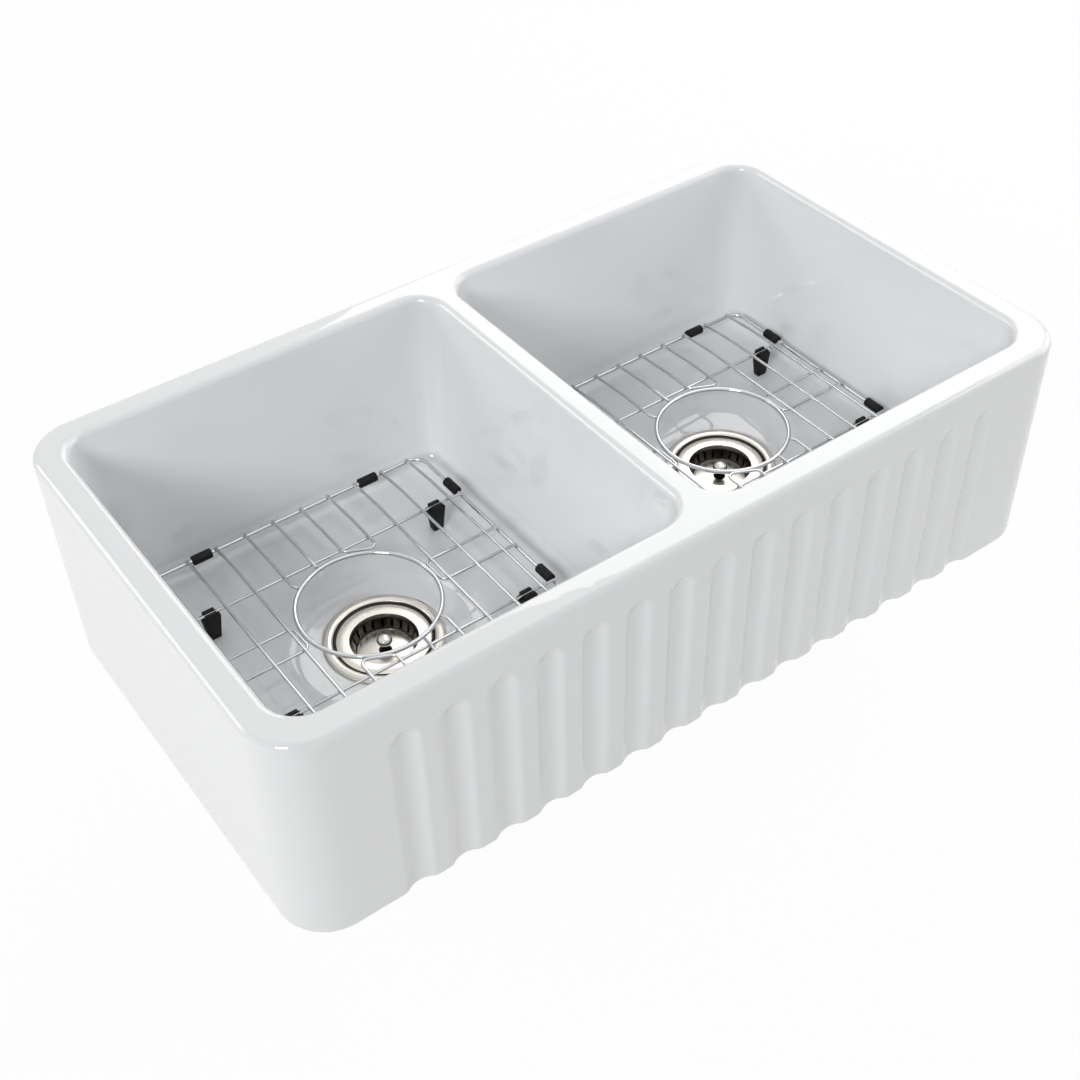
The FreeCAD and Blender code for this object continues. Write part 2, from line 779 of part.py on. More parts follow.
def long_ends(x):
    """The back end of a front-to-back wire: over the frame, then up onto the side-to-side wires."""
    back = grid_depth() / 2
    foot = back - size("slope_end")
    head = foot - size("slope_run")
    reach = back + size("wire_overrun")
    return [Vector(x, reach, cross_level()), Vector(x, foot, cross_level()), Vector(x, head, long_level())]


def full_long_wire(x):
    back = long_ends(x)
    front = [Vector(x, -point.y, point.z) for point in reversed(back)]
    return bent_wire(back + front, size("cross_wire"), size("wire_bend"))


def straight_stub(x):
    """A wire that stops square at the ring."""
    side = abs(x) - size("cross_wire") / 2
    end = math.sqrt(ring_outside() ** 2 - side ** 2) + size("weld_gap")
    return bent_wire(long_ends(x) + [Vector(x, end, long_level())], size("cross_wire"), size("wire_bend"))


def hooked_stub(x):
    """A wire whose end turns in to meet the ring."""
    turn = math.radians(size("hook_turn"))
    step = Vector(-math.copysign(math.sin(turn), x), -math.cos(turn), 0) * size("hook_length")
    end_x = x + step.x
    reach = ring_outside() + 2 * size("weld_gap")
    end = Vector(end_x, math.sqrt(reach ** 2 - end_x ** 2), long_level())
    return bent_wire(long_ends(x) + [end - step, end], size("cross_wire"), size("wire_bend"))


def hairpin_long_wire(near, far):
    """Two wires joined by a slanting link that touches the ring halfway between them."""
    touch = ring_outside() + size("cross_wire") / 2
    angle = math.acos((near + far) / 2 / touch)
    link = [Vector(x, (touch - x * math.cos(angle)) / math.sin(angle), long_level()) for x in (near, far)]
    points = long_ends(near) + link + list(reversed(long_ends(far)))
    return bent_wire(points, size("cross_wire"), size("wire_bend"))


def long_solids():
    """Front-to-back wires at an even pitch; the inner ones are interrupted by the ring."""
    places = [long_pitch() * (index + 0.5) for index in range(LONG_WIRE_POSITIONS)]
    near, far = places[:RING_POSITIONS]
    full = [full_long_wire(x) for x in places[RING_POSITIONS:]]
    broken = [hairpin_long_wire(near, far), straight_stub(-near), hooked_stub(-far)]
    return full + turned_half(full) + broken + turned_half(broken)


def ring_solids():
    """The round opening over the drain, level with the meeting faces of the two wire layers."""
    start = Vector(ring_outside() - size("ring_wire") / 2, 0, cross_level() + size("cross_wire") / 2)
    section = wire_section(start, Vector(0, 1, 0), size("ring_wire"))
    return [section.revolve(Vector(), Vector(0, 0, 1), 360)]


def rectangle(length, width, level):
    x, y = length / 2, width / 2
    corners = [Vector(-x, -y, level), Vector(x, -y, level), Vector(x, y, level), Vector(-x, y, level)]
    return Part.makePolygon(corners + corners[:1])


def middle_box(length, width, height, base):
    return Part.makeBox(length, width, height, Vector(-length / 2, -width / 2, base))


def bored(shape, bore, length, level):
    """The shape with a hole along X for its wire."""
    return shape.cut(Part.makeCylinder(bore, length, Vector(-length / 2, 0, level), Vector(1, 0, 0)))


def foot_shape():
    """A tapered rubber foot, clipped over a side-to-side wire through the slit in its top."""
    length, width = size("foot_top_length"), size("foot_top_width")
    level = cross_level()
    height = level + size("foot_crown")
    base = rectangle(size("foot_base_length"), size("foot_base_width"), 0)
    foot = Part.makeLoft([base, rectangle(length, width, height)], True, True)
    bore = wire_radius(size("cross_wire")) + size("rubber_clearance")
    foot = bored(foot, bore, length, level)
    foot = foot.cut(middle_box(length, size("foot_slit"), height - level, level))
    notch_level = level - size("cross_wire") / 2
    notch = Part.makeBox(size("foot_notch"), width, height - notch_level)
    for x in (-length / 2, length / 2 - size("foot_notch")):
        foot = foot.cut(notch.translated(Vector(x, -width / 2, notch_level)))
    return foot


def foot_solids():
    """Each foot is halfway between the last two front-to-back wires."""
    foot = foot_shape()
    x, y = long_pitch() * (LONG_WIRE_POSITIONS - 1), outer_wire()
    return [foot.translated(Vector(across, along, 0)) for across in (-x, x) for along in (-y, y)]


def bumper_shape():
    """A short rubber sleeve round the frame, lying along X."""
    length, level = size("bumper_length"), frame_level()
    sleeve = Part.makeCylinder(size("bumper_diameter") / 2, length, Vector(-length / 2, 0, level), Vector(1, 0, 0))
    bore = wire_radius(size("frame_wire")) + size("rubber_clearance")
    return bored(sleeve, bore, length, level)


def bumper_solids():
    """Two sleeves on the back and two on the right of the frame, and the same turned half round."""
    sleeve = bumper_shape()
    upright = sleeve.copy().rotate(Vector(), Vector(0, 0, 1), 90)
    width, depth = grid_width() / 2, grid_depth() / 2
    offset = long_pitch() * (LONG_WIRE_POSITIONS - 2)
    back = [sleeve.translated(Vector(x, depth, 0)) for x in (-offset, offset)]
    places = (outer_wire() + size("bumper_outside"), size("bumper_inside") - outer_wire())
    right = [upright.translated(Vector(width, y, 0)) for y in places]
    return back + right + turned_half(back + right)


def grid(side, direction):
    across = "%s * (%s - dims.side_wall + %s) / 2" % (direction, half("sink_width"), half("divider_wall"))
    along = "(dims.front_wall - dims.back_wall) / 2"
    groups = {
        "grid_frame": frame_solids,
        "grid_y_wires": long_solids,
        "grid_x_wires": cross_solids,
        "grid_ring": ring_solids,
        "grid_feet": foot_solids,
        "grid_bumpers": bumper_solids,
    }
    for name, make_solids in groups.items():
        solids = make_solids()
        piece = document.addObject("Part::Feature", "%s_%s" % (side, name))
        piece.Label = piece.Name
        piece.Shape = solids[0] if len(solids) == 1 else Part.makeCompound(solids)
        across_here = "%s + dims.%s_grid_across" % (across, side)
        place(piece, across_here, "%s + dims.%s_grid_along" % (along, side), "dims.floor_height")


# ---- check and write

def check():
    for item in document.Objects:
        if "Invalid" in item.State or "Error" in item.State:
            raise ValueError("%s failed: %s" % (item.Label, item.State))
    for piece in pieces:
        if piece.Shape.isNull() or not piece.Shape.isValid():
            raise ValueError("%s has no valid shape" % piece.Label)


def write():
    os.makedirs("parts", exist_ok=True)
    for piece in pieces:
        piece.Shape.exportStep("parts/%s.step" % piece.Label)


fill_sheet()
sink_body()
for side, direction in (("left", "-1"), ("right", "1")):
    across = "%s * %s" % (direction, half("drain_spacing"))
    strainer_body(side, across)
    neck_rings(side, across)
    lock_nut(side, across)
    tailpiece_washer(side, across)
    tailpiece(side, across)
    coupling_nut(side, across)
    basket_cup(side, across)
    basket_post(side, across)
    basket_knob(side, across)
    basket_stopper(side, across)
    retainer_nut(side, across)
    grid(side, direction)
document.recompute()
check()
write()
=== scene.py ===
import math

import bmesh
import bpy
from bpy.props import FloatProperty, FloatVectorProperty, IntProperty, PointerProperty
from bpy.types import Operator, Panel, PropertyGroup
from mathutils import Matrix, Vector


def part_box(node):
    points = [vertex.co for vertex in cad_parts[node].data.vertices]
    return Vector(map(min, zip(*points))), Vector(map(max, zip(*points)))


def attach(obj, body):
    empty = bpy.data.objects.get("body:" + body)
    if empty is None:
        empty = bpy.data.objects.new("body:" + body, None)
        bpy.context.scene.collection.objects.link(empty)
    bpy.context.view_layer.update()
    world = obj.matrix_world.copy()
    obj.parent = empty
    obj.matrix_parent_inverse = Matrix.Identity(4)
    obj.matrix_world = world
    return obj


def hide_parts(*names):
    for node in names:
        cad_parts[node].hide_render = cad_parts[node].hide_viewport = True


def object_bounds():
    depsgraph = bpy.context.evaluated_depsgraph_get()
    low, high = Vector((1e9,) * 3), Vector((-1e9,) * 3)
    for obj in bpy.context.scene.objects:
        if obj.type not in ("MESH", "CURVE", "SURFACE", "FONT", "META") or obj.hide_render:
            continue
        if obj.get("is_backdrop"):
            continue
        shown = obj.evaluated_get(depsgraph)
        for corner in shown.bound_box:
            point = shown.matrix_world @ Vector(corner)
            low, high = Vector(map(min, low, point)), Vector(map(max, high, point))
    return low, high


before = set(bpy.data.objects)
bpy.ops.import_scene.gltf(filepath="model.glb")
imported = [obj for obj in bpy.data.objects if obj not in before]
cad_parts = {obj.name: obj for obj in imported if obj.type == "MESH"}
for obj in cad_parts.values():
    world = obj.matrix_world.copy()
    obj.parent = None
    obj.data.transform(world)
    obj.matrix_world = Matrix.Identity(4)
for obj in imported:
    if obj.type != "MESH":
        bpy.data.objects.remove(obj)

bl_info = {
    "name": "Apron Front Sink",
    "version": (1, 0, 0),
    "blender": (4, 5, 0),
    "location": "3D View > Sidebar > Sink",
    "description": "A fluted apron front sink with its strainers, baskets and wire grids",
    "category": "Add Mesh",
}

SIDES = ("left", "right")
UP = Vector((0, 0, 1))
MM = 0.001
FINE = 0.1 * MM
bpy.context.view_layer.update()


def hex_colour(text):
    """An sRGB hex colour as linear red, green, blue and alpha."""
    channels = [int(text[place:place + 2], 16) / 255 for place in (1, 3, 5)]
    linear = [((c + 0.055) / 1.055) ** 2.4 if c > 0.04045 else c / 12.92 for c in channels]
    return (*linear, 1.0)


def length(name, default, description):
    return FloatProperty(name=name, description=description, default=default, subtype="DISTANCE", unit="LENGTH")


def colour(name, default, description):
    return FloatVectorProperty(name=name, description=description, default=hex_colour(default), size=4,
                               subtype="COLOR", min=0, max=1)


# ---- sizes and colours that a user would change

class CeramicSizes(PropertyGroup):
    side_wall: length("Side wall", 28 * MM, "Thickness of the left and right walls at the rim")
    front_wall: length("Front wall", 29 * MM, "Thickness of the apron at the rim")
    back_wall: length("Back wall", 26 * MM, "Thickness of the back wall at the rim")
    divider: length("Divider", 25 * MM, "Thickness of the wall between the bowls at the rim")
    corner: length("Corner round", 46 * MM, "Plan radius of the outer corners")
    bowl_corner: length("Bowl corner", 30 * MM, "Plan radius of a bowl's corners at the rim")
    rim_round: length("Rim round", 7 * MM, "Round over the outer edge of the rim")
    lip_round: length("Lip round", 7 * MM, "Round over the inner edge of the rim")
    foot_round: length("Foot round", 3 * MM, "Round along the bottom edge")
    floor: length("Floor level", 37 * MM, "Height of the bowls' floors above the underside")
    cove: length("Cove", 20 * MM, "Round between a bowl's walls and its floor")
    taper: FloatProperty(name="Wall taper", description="Lean of the bowl walls", default=math.radians(2.5),
                         subtype="ANGLE", unit="ROTATION")
    flutes: IntProperty(name="Flutes", description="Number of flutes in the apron", default=15, min=1)
    flute_pitch: length("Flute pitch", 44.5 * MM, "From one flute to the next")
    flute_opening: length("Flute opening", 27 * MM, "Width of a flute at the apron's face")
    flute_sink: length("Flute depth", 5 * MM, "Depth of a flute")
    flute_top: length("Flute top", 194 * MM, "Height of the flutes' rounded tops")
    flute_softness: length("Flute softness", 2.2 * MM, "How far the glaze rounds the edges of the flutes")
    drain_hole: length("Drain hole", 90 * MM, "Diameter of the drain hole")
    seat: length("Flange seat", 117 * MM, "Diameter of the sunk seat of the strainer's flange")
    seat_sink: length("Seat depth", 2.5 * MM, "Depth of the seat under the floor")
    dish: length("Dish", 160 * MM, "Diameter of the shallow dish round the seat")
    recess: length("Recess", 150 * MM, "Diameter of the recess under the drain")
    recess_height: length("Recess height", 15 * MM, "Height of the recess under the drain")


class GridSizes(PropertyGroup):
    bend: length("Wire bend", 6 * MM, "Bend radius of the cross wires")
    frame_bend: length("Frame bend", 14 * MM, "Bend radius of the frame's corners")
    overrun: length("Overrun", 0.2 * MM, "How far the wires pass the frame")
    edge: length("Edge", 15.85 * MM, "From the outermost front-to-back wires to the frame's sides")
    positions: IntProperty(name="Wires each side", description="Long wires each side of the middle",
                           default=5, min=3)
    slope_run: length("Slope run", 40 * MM, "Length over which a long wire comes down to the frame")
    slope_end: length("Slope end", 5 * MM, "From the end of that slope to the frame")
    outer_gap: length("Cross wire gap", 5.85 * MM, "From the ring to the two full cross wires")
    inner_spacing: length("Hairpin width", 31 * MM, "Between the arms of a hairpin")
    hook_turn: FloatProperty(name="Hook turn", description="Turn of the hooked wire ends", default=math.radians(30),
                             subtype="ANGLE", unit="ROTATION")
    hook: length("Hook", 6 * MM, "Length of the hooked wire ends")
    foot_base: length("Foot base", 11 * MM, "Length of a foot where it stands")
    foot_top: length("Foot top", 18 * MM, "Length of a foot at its top")
    foot_width: length("Foot width", 10 * MM, "Width of a foot at its top")
    bumper: length("Bumper length", 20 * MM, "Length of a sleeve on the frame")
    bumper_inside: length("Inner bumper offset", 15 * MM, "From a full cross wire in to a side sleeve")
    bumper_outside: length("Outer bumper offset", 17.5 * MM, "From a full cross wire out to a side sleeve")


class Finishes(PropertyGroup):
    glaze: colour("Glaze", "#F1F2F3", "Opaque white glaze of the ceramic")
    nickel: colour("Brushed steel", "#D3CFC7", "Warm brushed steel of the strainers")
    # painted shade: the baskets' walls, deep in the drain, get a darker copy of the strainer steel
    painted_wall_shade: colour("Basket wall shade", "#5F5C57", "Painted shade: darker steel colour on the baskets' walls")
    # painted shade: a near-black steel colour for the deep joint round each basket
    joint_shade: colour("Joint shade", "#33312E", "Painted shade in the joint round each basket")
    polish: colour("Polished steel", "#D2D1CE", "Polished steel of the knobs")
    # painted shade: the post under each knob gets a near-black copy of the knob's polished steel
    foot: colour("Foot of the knob", "#22211F", "Painted shade: near-black steel colour on the post under each knob")
    wire: colour("Wire", "#C6C7C9", "Electropolished wire of the grids")
    rubber: colour("Rubber", "#050506", "Black rubber of feet and seals")
    zinc: colour("Cast metal", "#B4B2AE", "Plated cast nuts")
    card: colour("Fibre", "#9C8464", "Fibre ring over the lock nut")


# ---- materials

def add_node(tree, kind, links=None, **settings):
    """A node with its settings, and with its sockets set or linked by name."""
    node = tree.nodes.new(kind)
    for name, value in settings.items():
        setattr(node, name, value)
    for name, value in (links or {}).items():
        socket = node.inputs[name]
        if isinstance(value, bpy.types.NodeSocket):
            tree.links.new(value, socket)
        else:
            socket.default_value = value
    return node


def new_material(name):
    """A material with an empty node tree but for its output, and the piece's own coordinates."""
    material = bpy.data.materials.new(name)
    material.use_nodes = True
    tree = material.node_tree
    tree.nodes.clear()
    coordinates = add_node(tree, "ShaderNodeTexCoord")
    return material, tree, coordinates.outputs["Object"]


def finish_material(material, tree, shader):
    add_node(tree, "ShaderNodeOutputMaterial", {"Surface": shader.outputs["BSDF"]})
    material.diffuse_color = (0.8, 0.8, 0.8, 1)
    return material


def glazed_fireclay():
    """Fireclay under an opaque white glaze: dense and smooth, with a faint orange peel and a clear gloss."""
    material, tree, place = new_material("glazed_fireclay")
    finishes = bpy.context.scene.sink_finishes
    peel = add_node(tree, "ShaderNodeTexNoise", {"Vector": place, "Scale": 1 / (28 * MM), "Detail": 2.0})
    drift = add_node(tree, "ShaderNodeTexNoise", {"Vector": place, "Scale": 1 / (180 * MM), "Detail": 1.0})
    rough = add_node(tree, "ShaderNodeMapRange", {
        "Value": drift.outputs["Fac"], "From Min": 0.3, "From Max": 0.7, "To Min": 0.01, "To Max": 0.03})
    bump = add_node(tree, "ShaderNodeBump", {
        "Height": peel.outputs["Fac"], "Strength": 0.25, "Distance": 0.15 * MM})
    shader = add_node(tree, "ShaderNodeBsdfPrincipled", {
        "Base Color": tuple(finishes.glaze), "Roughness": rough.outputs["Result"], "IOR": 1.55,
        "Normal": bump.outputs["Normal"]})
    return finish_material(material, tree, shader)


def lathe_brushed_steel(name, centre, base, rough_low, rough_high, line=0.5 * MM):
    """Stainless steel finished on a lathe: fine rings round the drain, made a little coarse so that they show."""
    material, tree, place = new_material(name)
    moved = add_node(tree, "ShaderNodeMapping", {"Vector": place, "Location": (-centre.x, -centre.y, 0)})
    parts = add_node(tree, "ShaderNodeSeparateXYZ", {"Vector": moved.outputs["Vector"]})
    flat = add_node(tree, "ShaderNodeCombineXYZ", {"X": parts.outputs["X"], "Y": parts.outputs["Y"]})
    radius = add_node(tree, "ShaderNodeVectorMath", {0: flat.outputs["Vector"]}, operation="LENGTH")
    turned = add_node(tree, "ShaderNodeCombineXYZ", {"X": radius.outputs["Value"], "Z": parts.outputs["Z"]})
    rings = add_node(tree, "ShaderNodeTexNoise", {
        "Vector": turned.outputs["Vector"], "Scale": 1 / line, "Detail": 3.0})
    rough = add_node(tree, "ShaderNodeMapRange", {
        "Value": rings.outputs["Fac"], "From Min": 0.3, "From Max": 0.7, "To Min": rough_low, "To Max": rough_high})
    bump = add_node(tree, "ShaderNodeBump", {
        "Height": rings.outputs["Fac"], "Strength": 0.35, "Distance": 0.02 * MM})
    shader = add_node(tree, "ShaderNodeBsdfPrincipled", {
        "Base Color": tuple(base), "Metallic": 1.0, "Roughness": rough.outputs["Result"],
        "Normal": bump.outputs["Normal"]})
    return finish_material(material, tree, shader)


def polished_metal(name, base, roughness, grain=6 * MM):
    """Polished or electropolished steel: bright, with the faint unevenness that drawing and buffing leave."""
    material, tree, place = new_material(name)
    wear = add_node(tree, "ShaderNodeTexNoise", {"Vector": place, "Scale": 1 / grain, "Detail": 4.0})
    rough = add_node(tree, "ShaderNodeMapRange", {
        "Value": wear.outputs["Fac"], "From Min": 0.3, "From Max": 0.7,
        "To Min": roughness * 0.7, "To Max": roughness * 1.3})
    shader = add_node(tree, "ShaderNodeBsdfPrincipled", {
        "Base Color": tuple(base), "Metallic": 1.0, "Roughness": rough.outputs["Result"]})
    return finish_material(material, tree, shader)


def cast_metal():
    """Die-cast zinc with a plated skin: grey, a little grainy and matt in its pores."""
    material, tree, place = new_material("plated_die_cast_zinc")
    pores = add_node(tree, "ShaderNodeTexNoise", {"Vector": place, "Scale": 1 / (0.9 * MM), "Detail": 4.0})
    rough = add_node(tree, "ShaderNodeMapRange", {
        "Value": pores.outputs["Fac"], "From Min": 0.3, "From Max": 0.7, "To Min": 0.28, "To Max": 0.46})
    bump = add_node(tree, "ShaderNodeBump", {
        "Height": pores.outputs["Fac"], "Strength": 0.4, "Distance": 0.05 * MM})
    shader = add_node(tree, "ShaderNodeBsdfPrincipled", {
        "Base Color": tuple(bpy.context.scene.sink_finishes.zinc), "Metallic": 1.0,
        "Roughness": rough.outputs["Result"], "Normal": bump.outputs["Normal"]})
    return finish_material(material, tree, shader)


def moulded_rubber():
    """Moulded EPDM rubber: near black, matt, with a fine bloom from the mould."""
    material, tree, place = new_material("moulded_rubber")
    finishes = bpy.context.scene.sink_finishes
    grain = add_node(tree, "ShaderNodeTexNoise", {"Vector": place, "Scale": 1 / (0.7 * MM), "Detail": 3.0})
    bloom = add_node(tree, "ShaderNodeMix", {
        "Factor": grain.outputs["Fac"], 6: tuple(finishes.rubber), 7: hex_colour("#0C0C0D")}, data_type="RGBA")
    bump = add_node(tree, "ShaderNodeBump", {
        "Height": grain.outputs["Fac"], "Strength": 0.5, "Distance": 0.06 * MM})
    shader = add_node(tree, "ShaderNodeBsdfPrincipled", {
        "Base Color": bloom.outputs[2], "Roughness": 0.62, "Specular IOR Level": 0.3,
        "Normal": bump.outputs["Normal"]})
    return finish_material(material, tree, shader)


def pressed_fibre():
    """Pressed fibre card: tan, flecked and quite matt."""
    material, tree, place = new_material("pressed_fibre")
    flecks = add_node(tree, "ShaderNodeTexNoise", {"Vector": place, "Scale": 1 / (1.5 * MM), "Detail": 5.0})
    tone = add_node(tree, "ShaderNodeMix", {
        "Factor": flecks.outputs["Fac"], 6: tuple(bpy.context.scene.sink_finishes.card), 7: hex_colour("#6F5A3F")},
        data_type="RGBA")
    bump = add_node(tree, "ShaderNodeBump", {
        "Height": flecks.outputs["Fac"], "Strength": 0.4, "Distance": 0.1 * MM})
    shader = add_node(tree, "ShaderNodeBsdfPrincipled", {
        "Base Color": tone.outputs[2], "Roughness": 0.85, "Normal": bump.outputs["Normal"]})
    return finish_material(material, tree, shader)


# ---- shapes shared by the pieces

def finish_piece(bm, name, body, material, replaces=(), smooth_angle=math.radians(35), more=()):
    """Turn a bmesh into a piece that rides on a body, shaded smooth but for its sharp edges."""
    bmesh.ops.recalc_face_normals(bm, faces=bm.faces)
    for face in bm.faces:
        face.smooth = True
    for edge in bm.edges:
        edge.smooth = len(edge.link_faces) == 2 and edge.calc_face_angle() < smooth_angle
    mesh = bpy.data.meshes.new(name)
    bm.to_mesh(mesh)
    bm.free()
    for finish in (material, *more):
        mesh.materials.append(finish)
    piece = bpy.data.objects.new(name, mesh)
    bpy.context.scene.collection.objects.link(piece)
    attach(piece, body)
    if replaces:
        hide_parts(*replaces)
    return piece


def loop_edges(verts):
    """The edges that run from one vertex of a ring to the next."""
    chosen = set(verts)
    near = dict.fromkeys(edge for vert in verts for edge in vert.link_edges)
    return [edge for edge in near if edge.verts[0] in chosen and edge.verts[1] in chosen]


def next_ring(bm, edges, move):
    """Extrude a ring of edges and move each new vertex; returns the new ring's edges."""
    grown = bmesh.ops.extrude_edge_only(bm, edges=edges)["geom"]
    verts = [item for item in grown if isinstance(item, bmesh.types.BMVert)]
    for vert in verts:
        vert.co = move(vert.co)
    fresh = set(verts)
    found = [item for item in grown if isinstance(item, bmesh.types.BMEdge)]
    return [edge for edge in found if edge.verts[0] in fresh and edge.verts[1] in fresh]


def lathe(bm, outline, centre, steps, rounding=0.0, closed=True):
    """Turn an outline of radius and height round an upright axis; its corners may be rounded first."""
    verts = [bm.verts.new((centre.x + radius, centre.y, height)) for radius, height in outline]
    pairs = list(zip(verts, verts[1:] + verts[:1])) if closed else list(zip(verts, verts[1:]))
    edges = [bm.edges.new(pair) for pair in pairs]
    if rounding:
        corners = [vert for vert in verts if len(vert.link_edges) == 2]
        bmesh.ops.bevel(bm, geom=corners, offset=rounding, segments=3, profile=0.5, affect="VERTICES",
                        clamp_overlap=True, material=-1)
        edges = [edge for edge in bm.edges if not edge.link_faces]
    spun = list(dict.fromkeys(vert for edge in edges for vert in edge.verts)) + edges
    bmesh.ops.spin(bm, geom=spun, cent=centre, axis=UP, dvec=(0, 0, 0), angle=math.tau, steps=steps,
                   use_merge=True, use_duplicate=False)
    bmesh.ops.remove_doubles(bm, verts=bm.verts, dist=0.01 * MM)


def wire_bend(bm, edges, here, forward, onward, corner, bend):
    """Extrude a wire's ring to the start of a bend and turn it through the bend."""
    turn = forward.angle(onward)
    setback = bend * math.tan(turn / 2)
    axis = forward.cross(onward).normalized()
    start = corner - forward * setback
    run = start - here
    edges = next_ring(bm, edges, lambda co: co + run)
    steps = max(1, round(turn / math.radians(15)))
    spun = bmesh.ops.spin(bm, geom=edges, cent=start + axis.cross(forward) * bend, axis=axis, dvec=(0, 0, 0),
                          angle=turn, steps=steps, use_merge=False, use_duplicate=False)["geom_last"]
    ring = [item for item in spun if isinstance(item, bmesh.types.BMEdge)]
    return ring, corner + onward * setback


def bent_wire(bm, points, radius, bend, closed=False, sides=14):
    """A round wire through points, with its corners bent and its cut ends capped."""
    here = points[0]
    forward = (points[1] - here).normalized()
    turned = forward.to_track_quat("Z", "Y").to_matrix().to_4x4()
    made = bmesh.ops.create_circle(bm, cap_ends=not closed, segments=sides, radius=radius,
                                   matrix=Matrix.Translation(here) @ turned)
    first = loop_edges(made["verts"])
    edges = first
    for corner, beyond in zip(points[1:], points[2:]):
        onward = (beyond - corner).normalized()
        edges, here = wire_bend(bm, edges, here, forward, onward, corner, bend)
        forward = onward
    run = points[-1] - here
    edges = next_ring(bm, edges, lambda co: co + run)
    if closed:
        bmesh.ops.remove_doubles(bm, verts=bm.verts, dist=0.02 * MM)
        return
    bmesh.ops.contextual_create(bm, geom=edges)
    bmesh.ops.bevel(bm, geom=first + edges, offset=radius * 0.35, segments=2, profile=0.5, affect="EDGES",
                    clamp_overlap=True, material=-1)


# ---- ceramic body

def core_point(co, centre, core):
    """The nearest point of a rounded rectangle's inner rectangle, which its outline is a fixed distance from."""
    x = min(max(co.x, centre.x - core.x), centre.x + core.x)
    y = min(max(co.y, centre.y - core.y), centre.y + core.y)
    return Vector((x, y, co.z))


def grow(co, centre, core, distance, level):
    """Move a point of the outline outwards (or inwards, where negative) and to a level."""
    heart = core_point(co, centre, core)
    out = co - heart
    moved = heart + out * ((out.length + distance) / out.length)
    return Vector((moved.x, moved.y, level))


def rounded_outline(bm, low, high, radius, level, front_cuts=0, steps=12):
    """A level rounded rectangle, its front side cut finely where asked; returns its edges."""
    earlier = set(bm.edges)
    corners = [(low.x, low.y), (high.x, low.y), (high.x, high.y), (low.x, high.y)]
    verts = [bm.verts.new((x, y, level)) for x, y in corners]
    bm.faces.new(verts)
    bmesh.ops.bevel(bm, geom=verts, offset=radius, segments=steps, profile=0.5, affect="VERTICES",
                    clamp_overlap=False, material=-1)
    sides = [edge for edge in bm.edges if edge not in earlier and edge.calc_length() > radius]
    front = [edge for edge in sides if all(abs(vert.co.y - low.y) < FINE for vert in edge.verts)]
    if front_cuts:
        bmesh.ops.subdivide_edges(bm, edges=front, cuts=front_cuts)
        sides = [edge for edge in sides if edge not in front]
    bmesh.ops.subdivide_edges(bm, edges=sides, cuts=8)
    edges = [edge for edge in bm.edges if edge not in earlier]
    bmesh.ops.delete(bm, geom=list({face for edge in edges for face in edge.link_faces}), context="FACES_ONLY")
    return edges


def flute_depth(x, z, sizes):
    """How far the glazed apron lies back at a place: round channels with ball ends and softened edges."""
    first = -sizes.flute_pitch * (sizes.flutes - 1) / 2
    nearest = min(max(round((x - first) / sizes.flute_pitch), 0), sizes.flutes - 1)
    across = x - first - nearest * sizes.flute_pitch
    half = sizes.flute_opening / 2
    above = max(0, z - (sizes.flute_top - half))
    distance = math.hypot(across, above)
    radius = (half ** 2 + sizes.flute_sink ** 2) / (2 * sizes.flute_sink)
    floor = radius - sizes.flute_sink
    reach = min(distance, radius * 0.95)  # well outside the flute, where the depth is below zero
    depth = math.sqrt(radius ** 2 - reach ** 2) - floor
    blend = max(sizes.flute_softness - abs(depth), 0) / sizes.flute_softness
    return max(depth, 0) + blend ** 2 * sizes.flute_softness / 4


def quarter(steps):
    """Angles of a quarter turn, without its start."""
    return [math.pi / 2 * step / steps for step in range(1, steps + 1)]


def outside_wall(bm, edges, centre, core, low, high, sizes):
    """From the flat of the rim over its round, down the walls and round the bottom edge."""
    round_, foot = sizes.rim_round, sizes.foot_round
    offset = 0.0
    for angle in quarter(8):
        step = round_ * math.sin(angle) - offset
        level = high.z - round_ * (1 - math.cos(angle))
        edges = next_ring(bm, edges, lambda co: grow(co, centre, core, step, level))
        offset += step
    fine_top, fine_end = sizes.flute_top + 6 * MM, sizes.flute_top - sizes.flute_opening
    fine = round((fine_top - fine_end) / (2 * MM))
    levels = [high.z - round_ - 8 * MM] + [fine_top - (fine_top - fine_end) * n / fine for n in range(fine + 1)]
    coarse = 12
    levels += [fine_end + (foot - fine_end) * n / coarse for n in range(1, coarse + 1)]
    for level in levels:
        edges = next_ring(bm, edges, lambda co: Vector((co.x, co.y, level)))
    offset = 0.0
    for angle in quarter(4):
        step = -foot * (1 - math.cos(angle)) - offset
        level = foot - foot * math.sin(angle)
        edges = next_ring(bm, edges, lambda co: grow(co, centre, core, step, level))
        offset += step
    front = low.y + foot + MM
    for vert in bm.verts:
        if vert.co.y < front and vert.co.z < high.z - round_:
            vert.co.y += flute_depth(vert.co.x, vert.co.z, sizes)
    return edges


def bowl_wall(bm, edges, centre, core, top, sizes):
    """From the flat of the rim over the lip, down the leaning wall and round the cove to the floor."""
    lip, cove, lean = sizes.lip_round, sizes.cove, math.tan(sizes.taper)
    offset = 0.0
    for angle in quarter(6):
        step = -lip * math.sin(angle) - offset
        level = top - lip * (1 - math.cos(angle))
        edges = next_ring(bm, edges, lambda co: grow(co, centre, core, step, level))
        offset += step
    tangent = sizes.floor + cove - cove * math.sin(sizes.taper)
    cuts = 8
    for level in [top - lip + (tangent - top + lip) * n / cuts for n in range(1, cuts + 1)]:
        step = -(lip + (top - level) * lean) - offset
        edges = next_ring(bm, edges, lambda co: grow(co, centre, core, step, level))
        offset += step
    middle = lip + (top - tangent) * lean + cove * math.cos(sizes.taper)
    for angle in quarter(12):
        turned = sizes.taper + angle * (1 - sizes.taper / (math.pi / 2))
        step = -(middle - cove * math.cos(turned)) - offset
        level = sizes.floor + cove - cove * math.sin(turned)
        edges = next_ring(bm, edges, lambda co: grow(co, centre, core, step, level))
        offset += step
    return edges


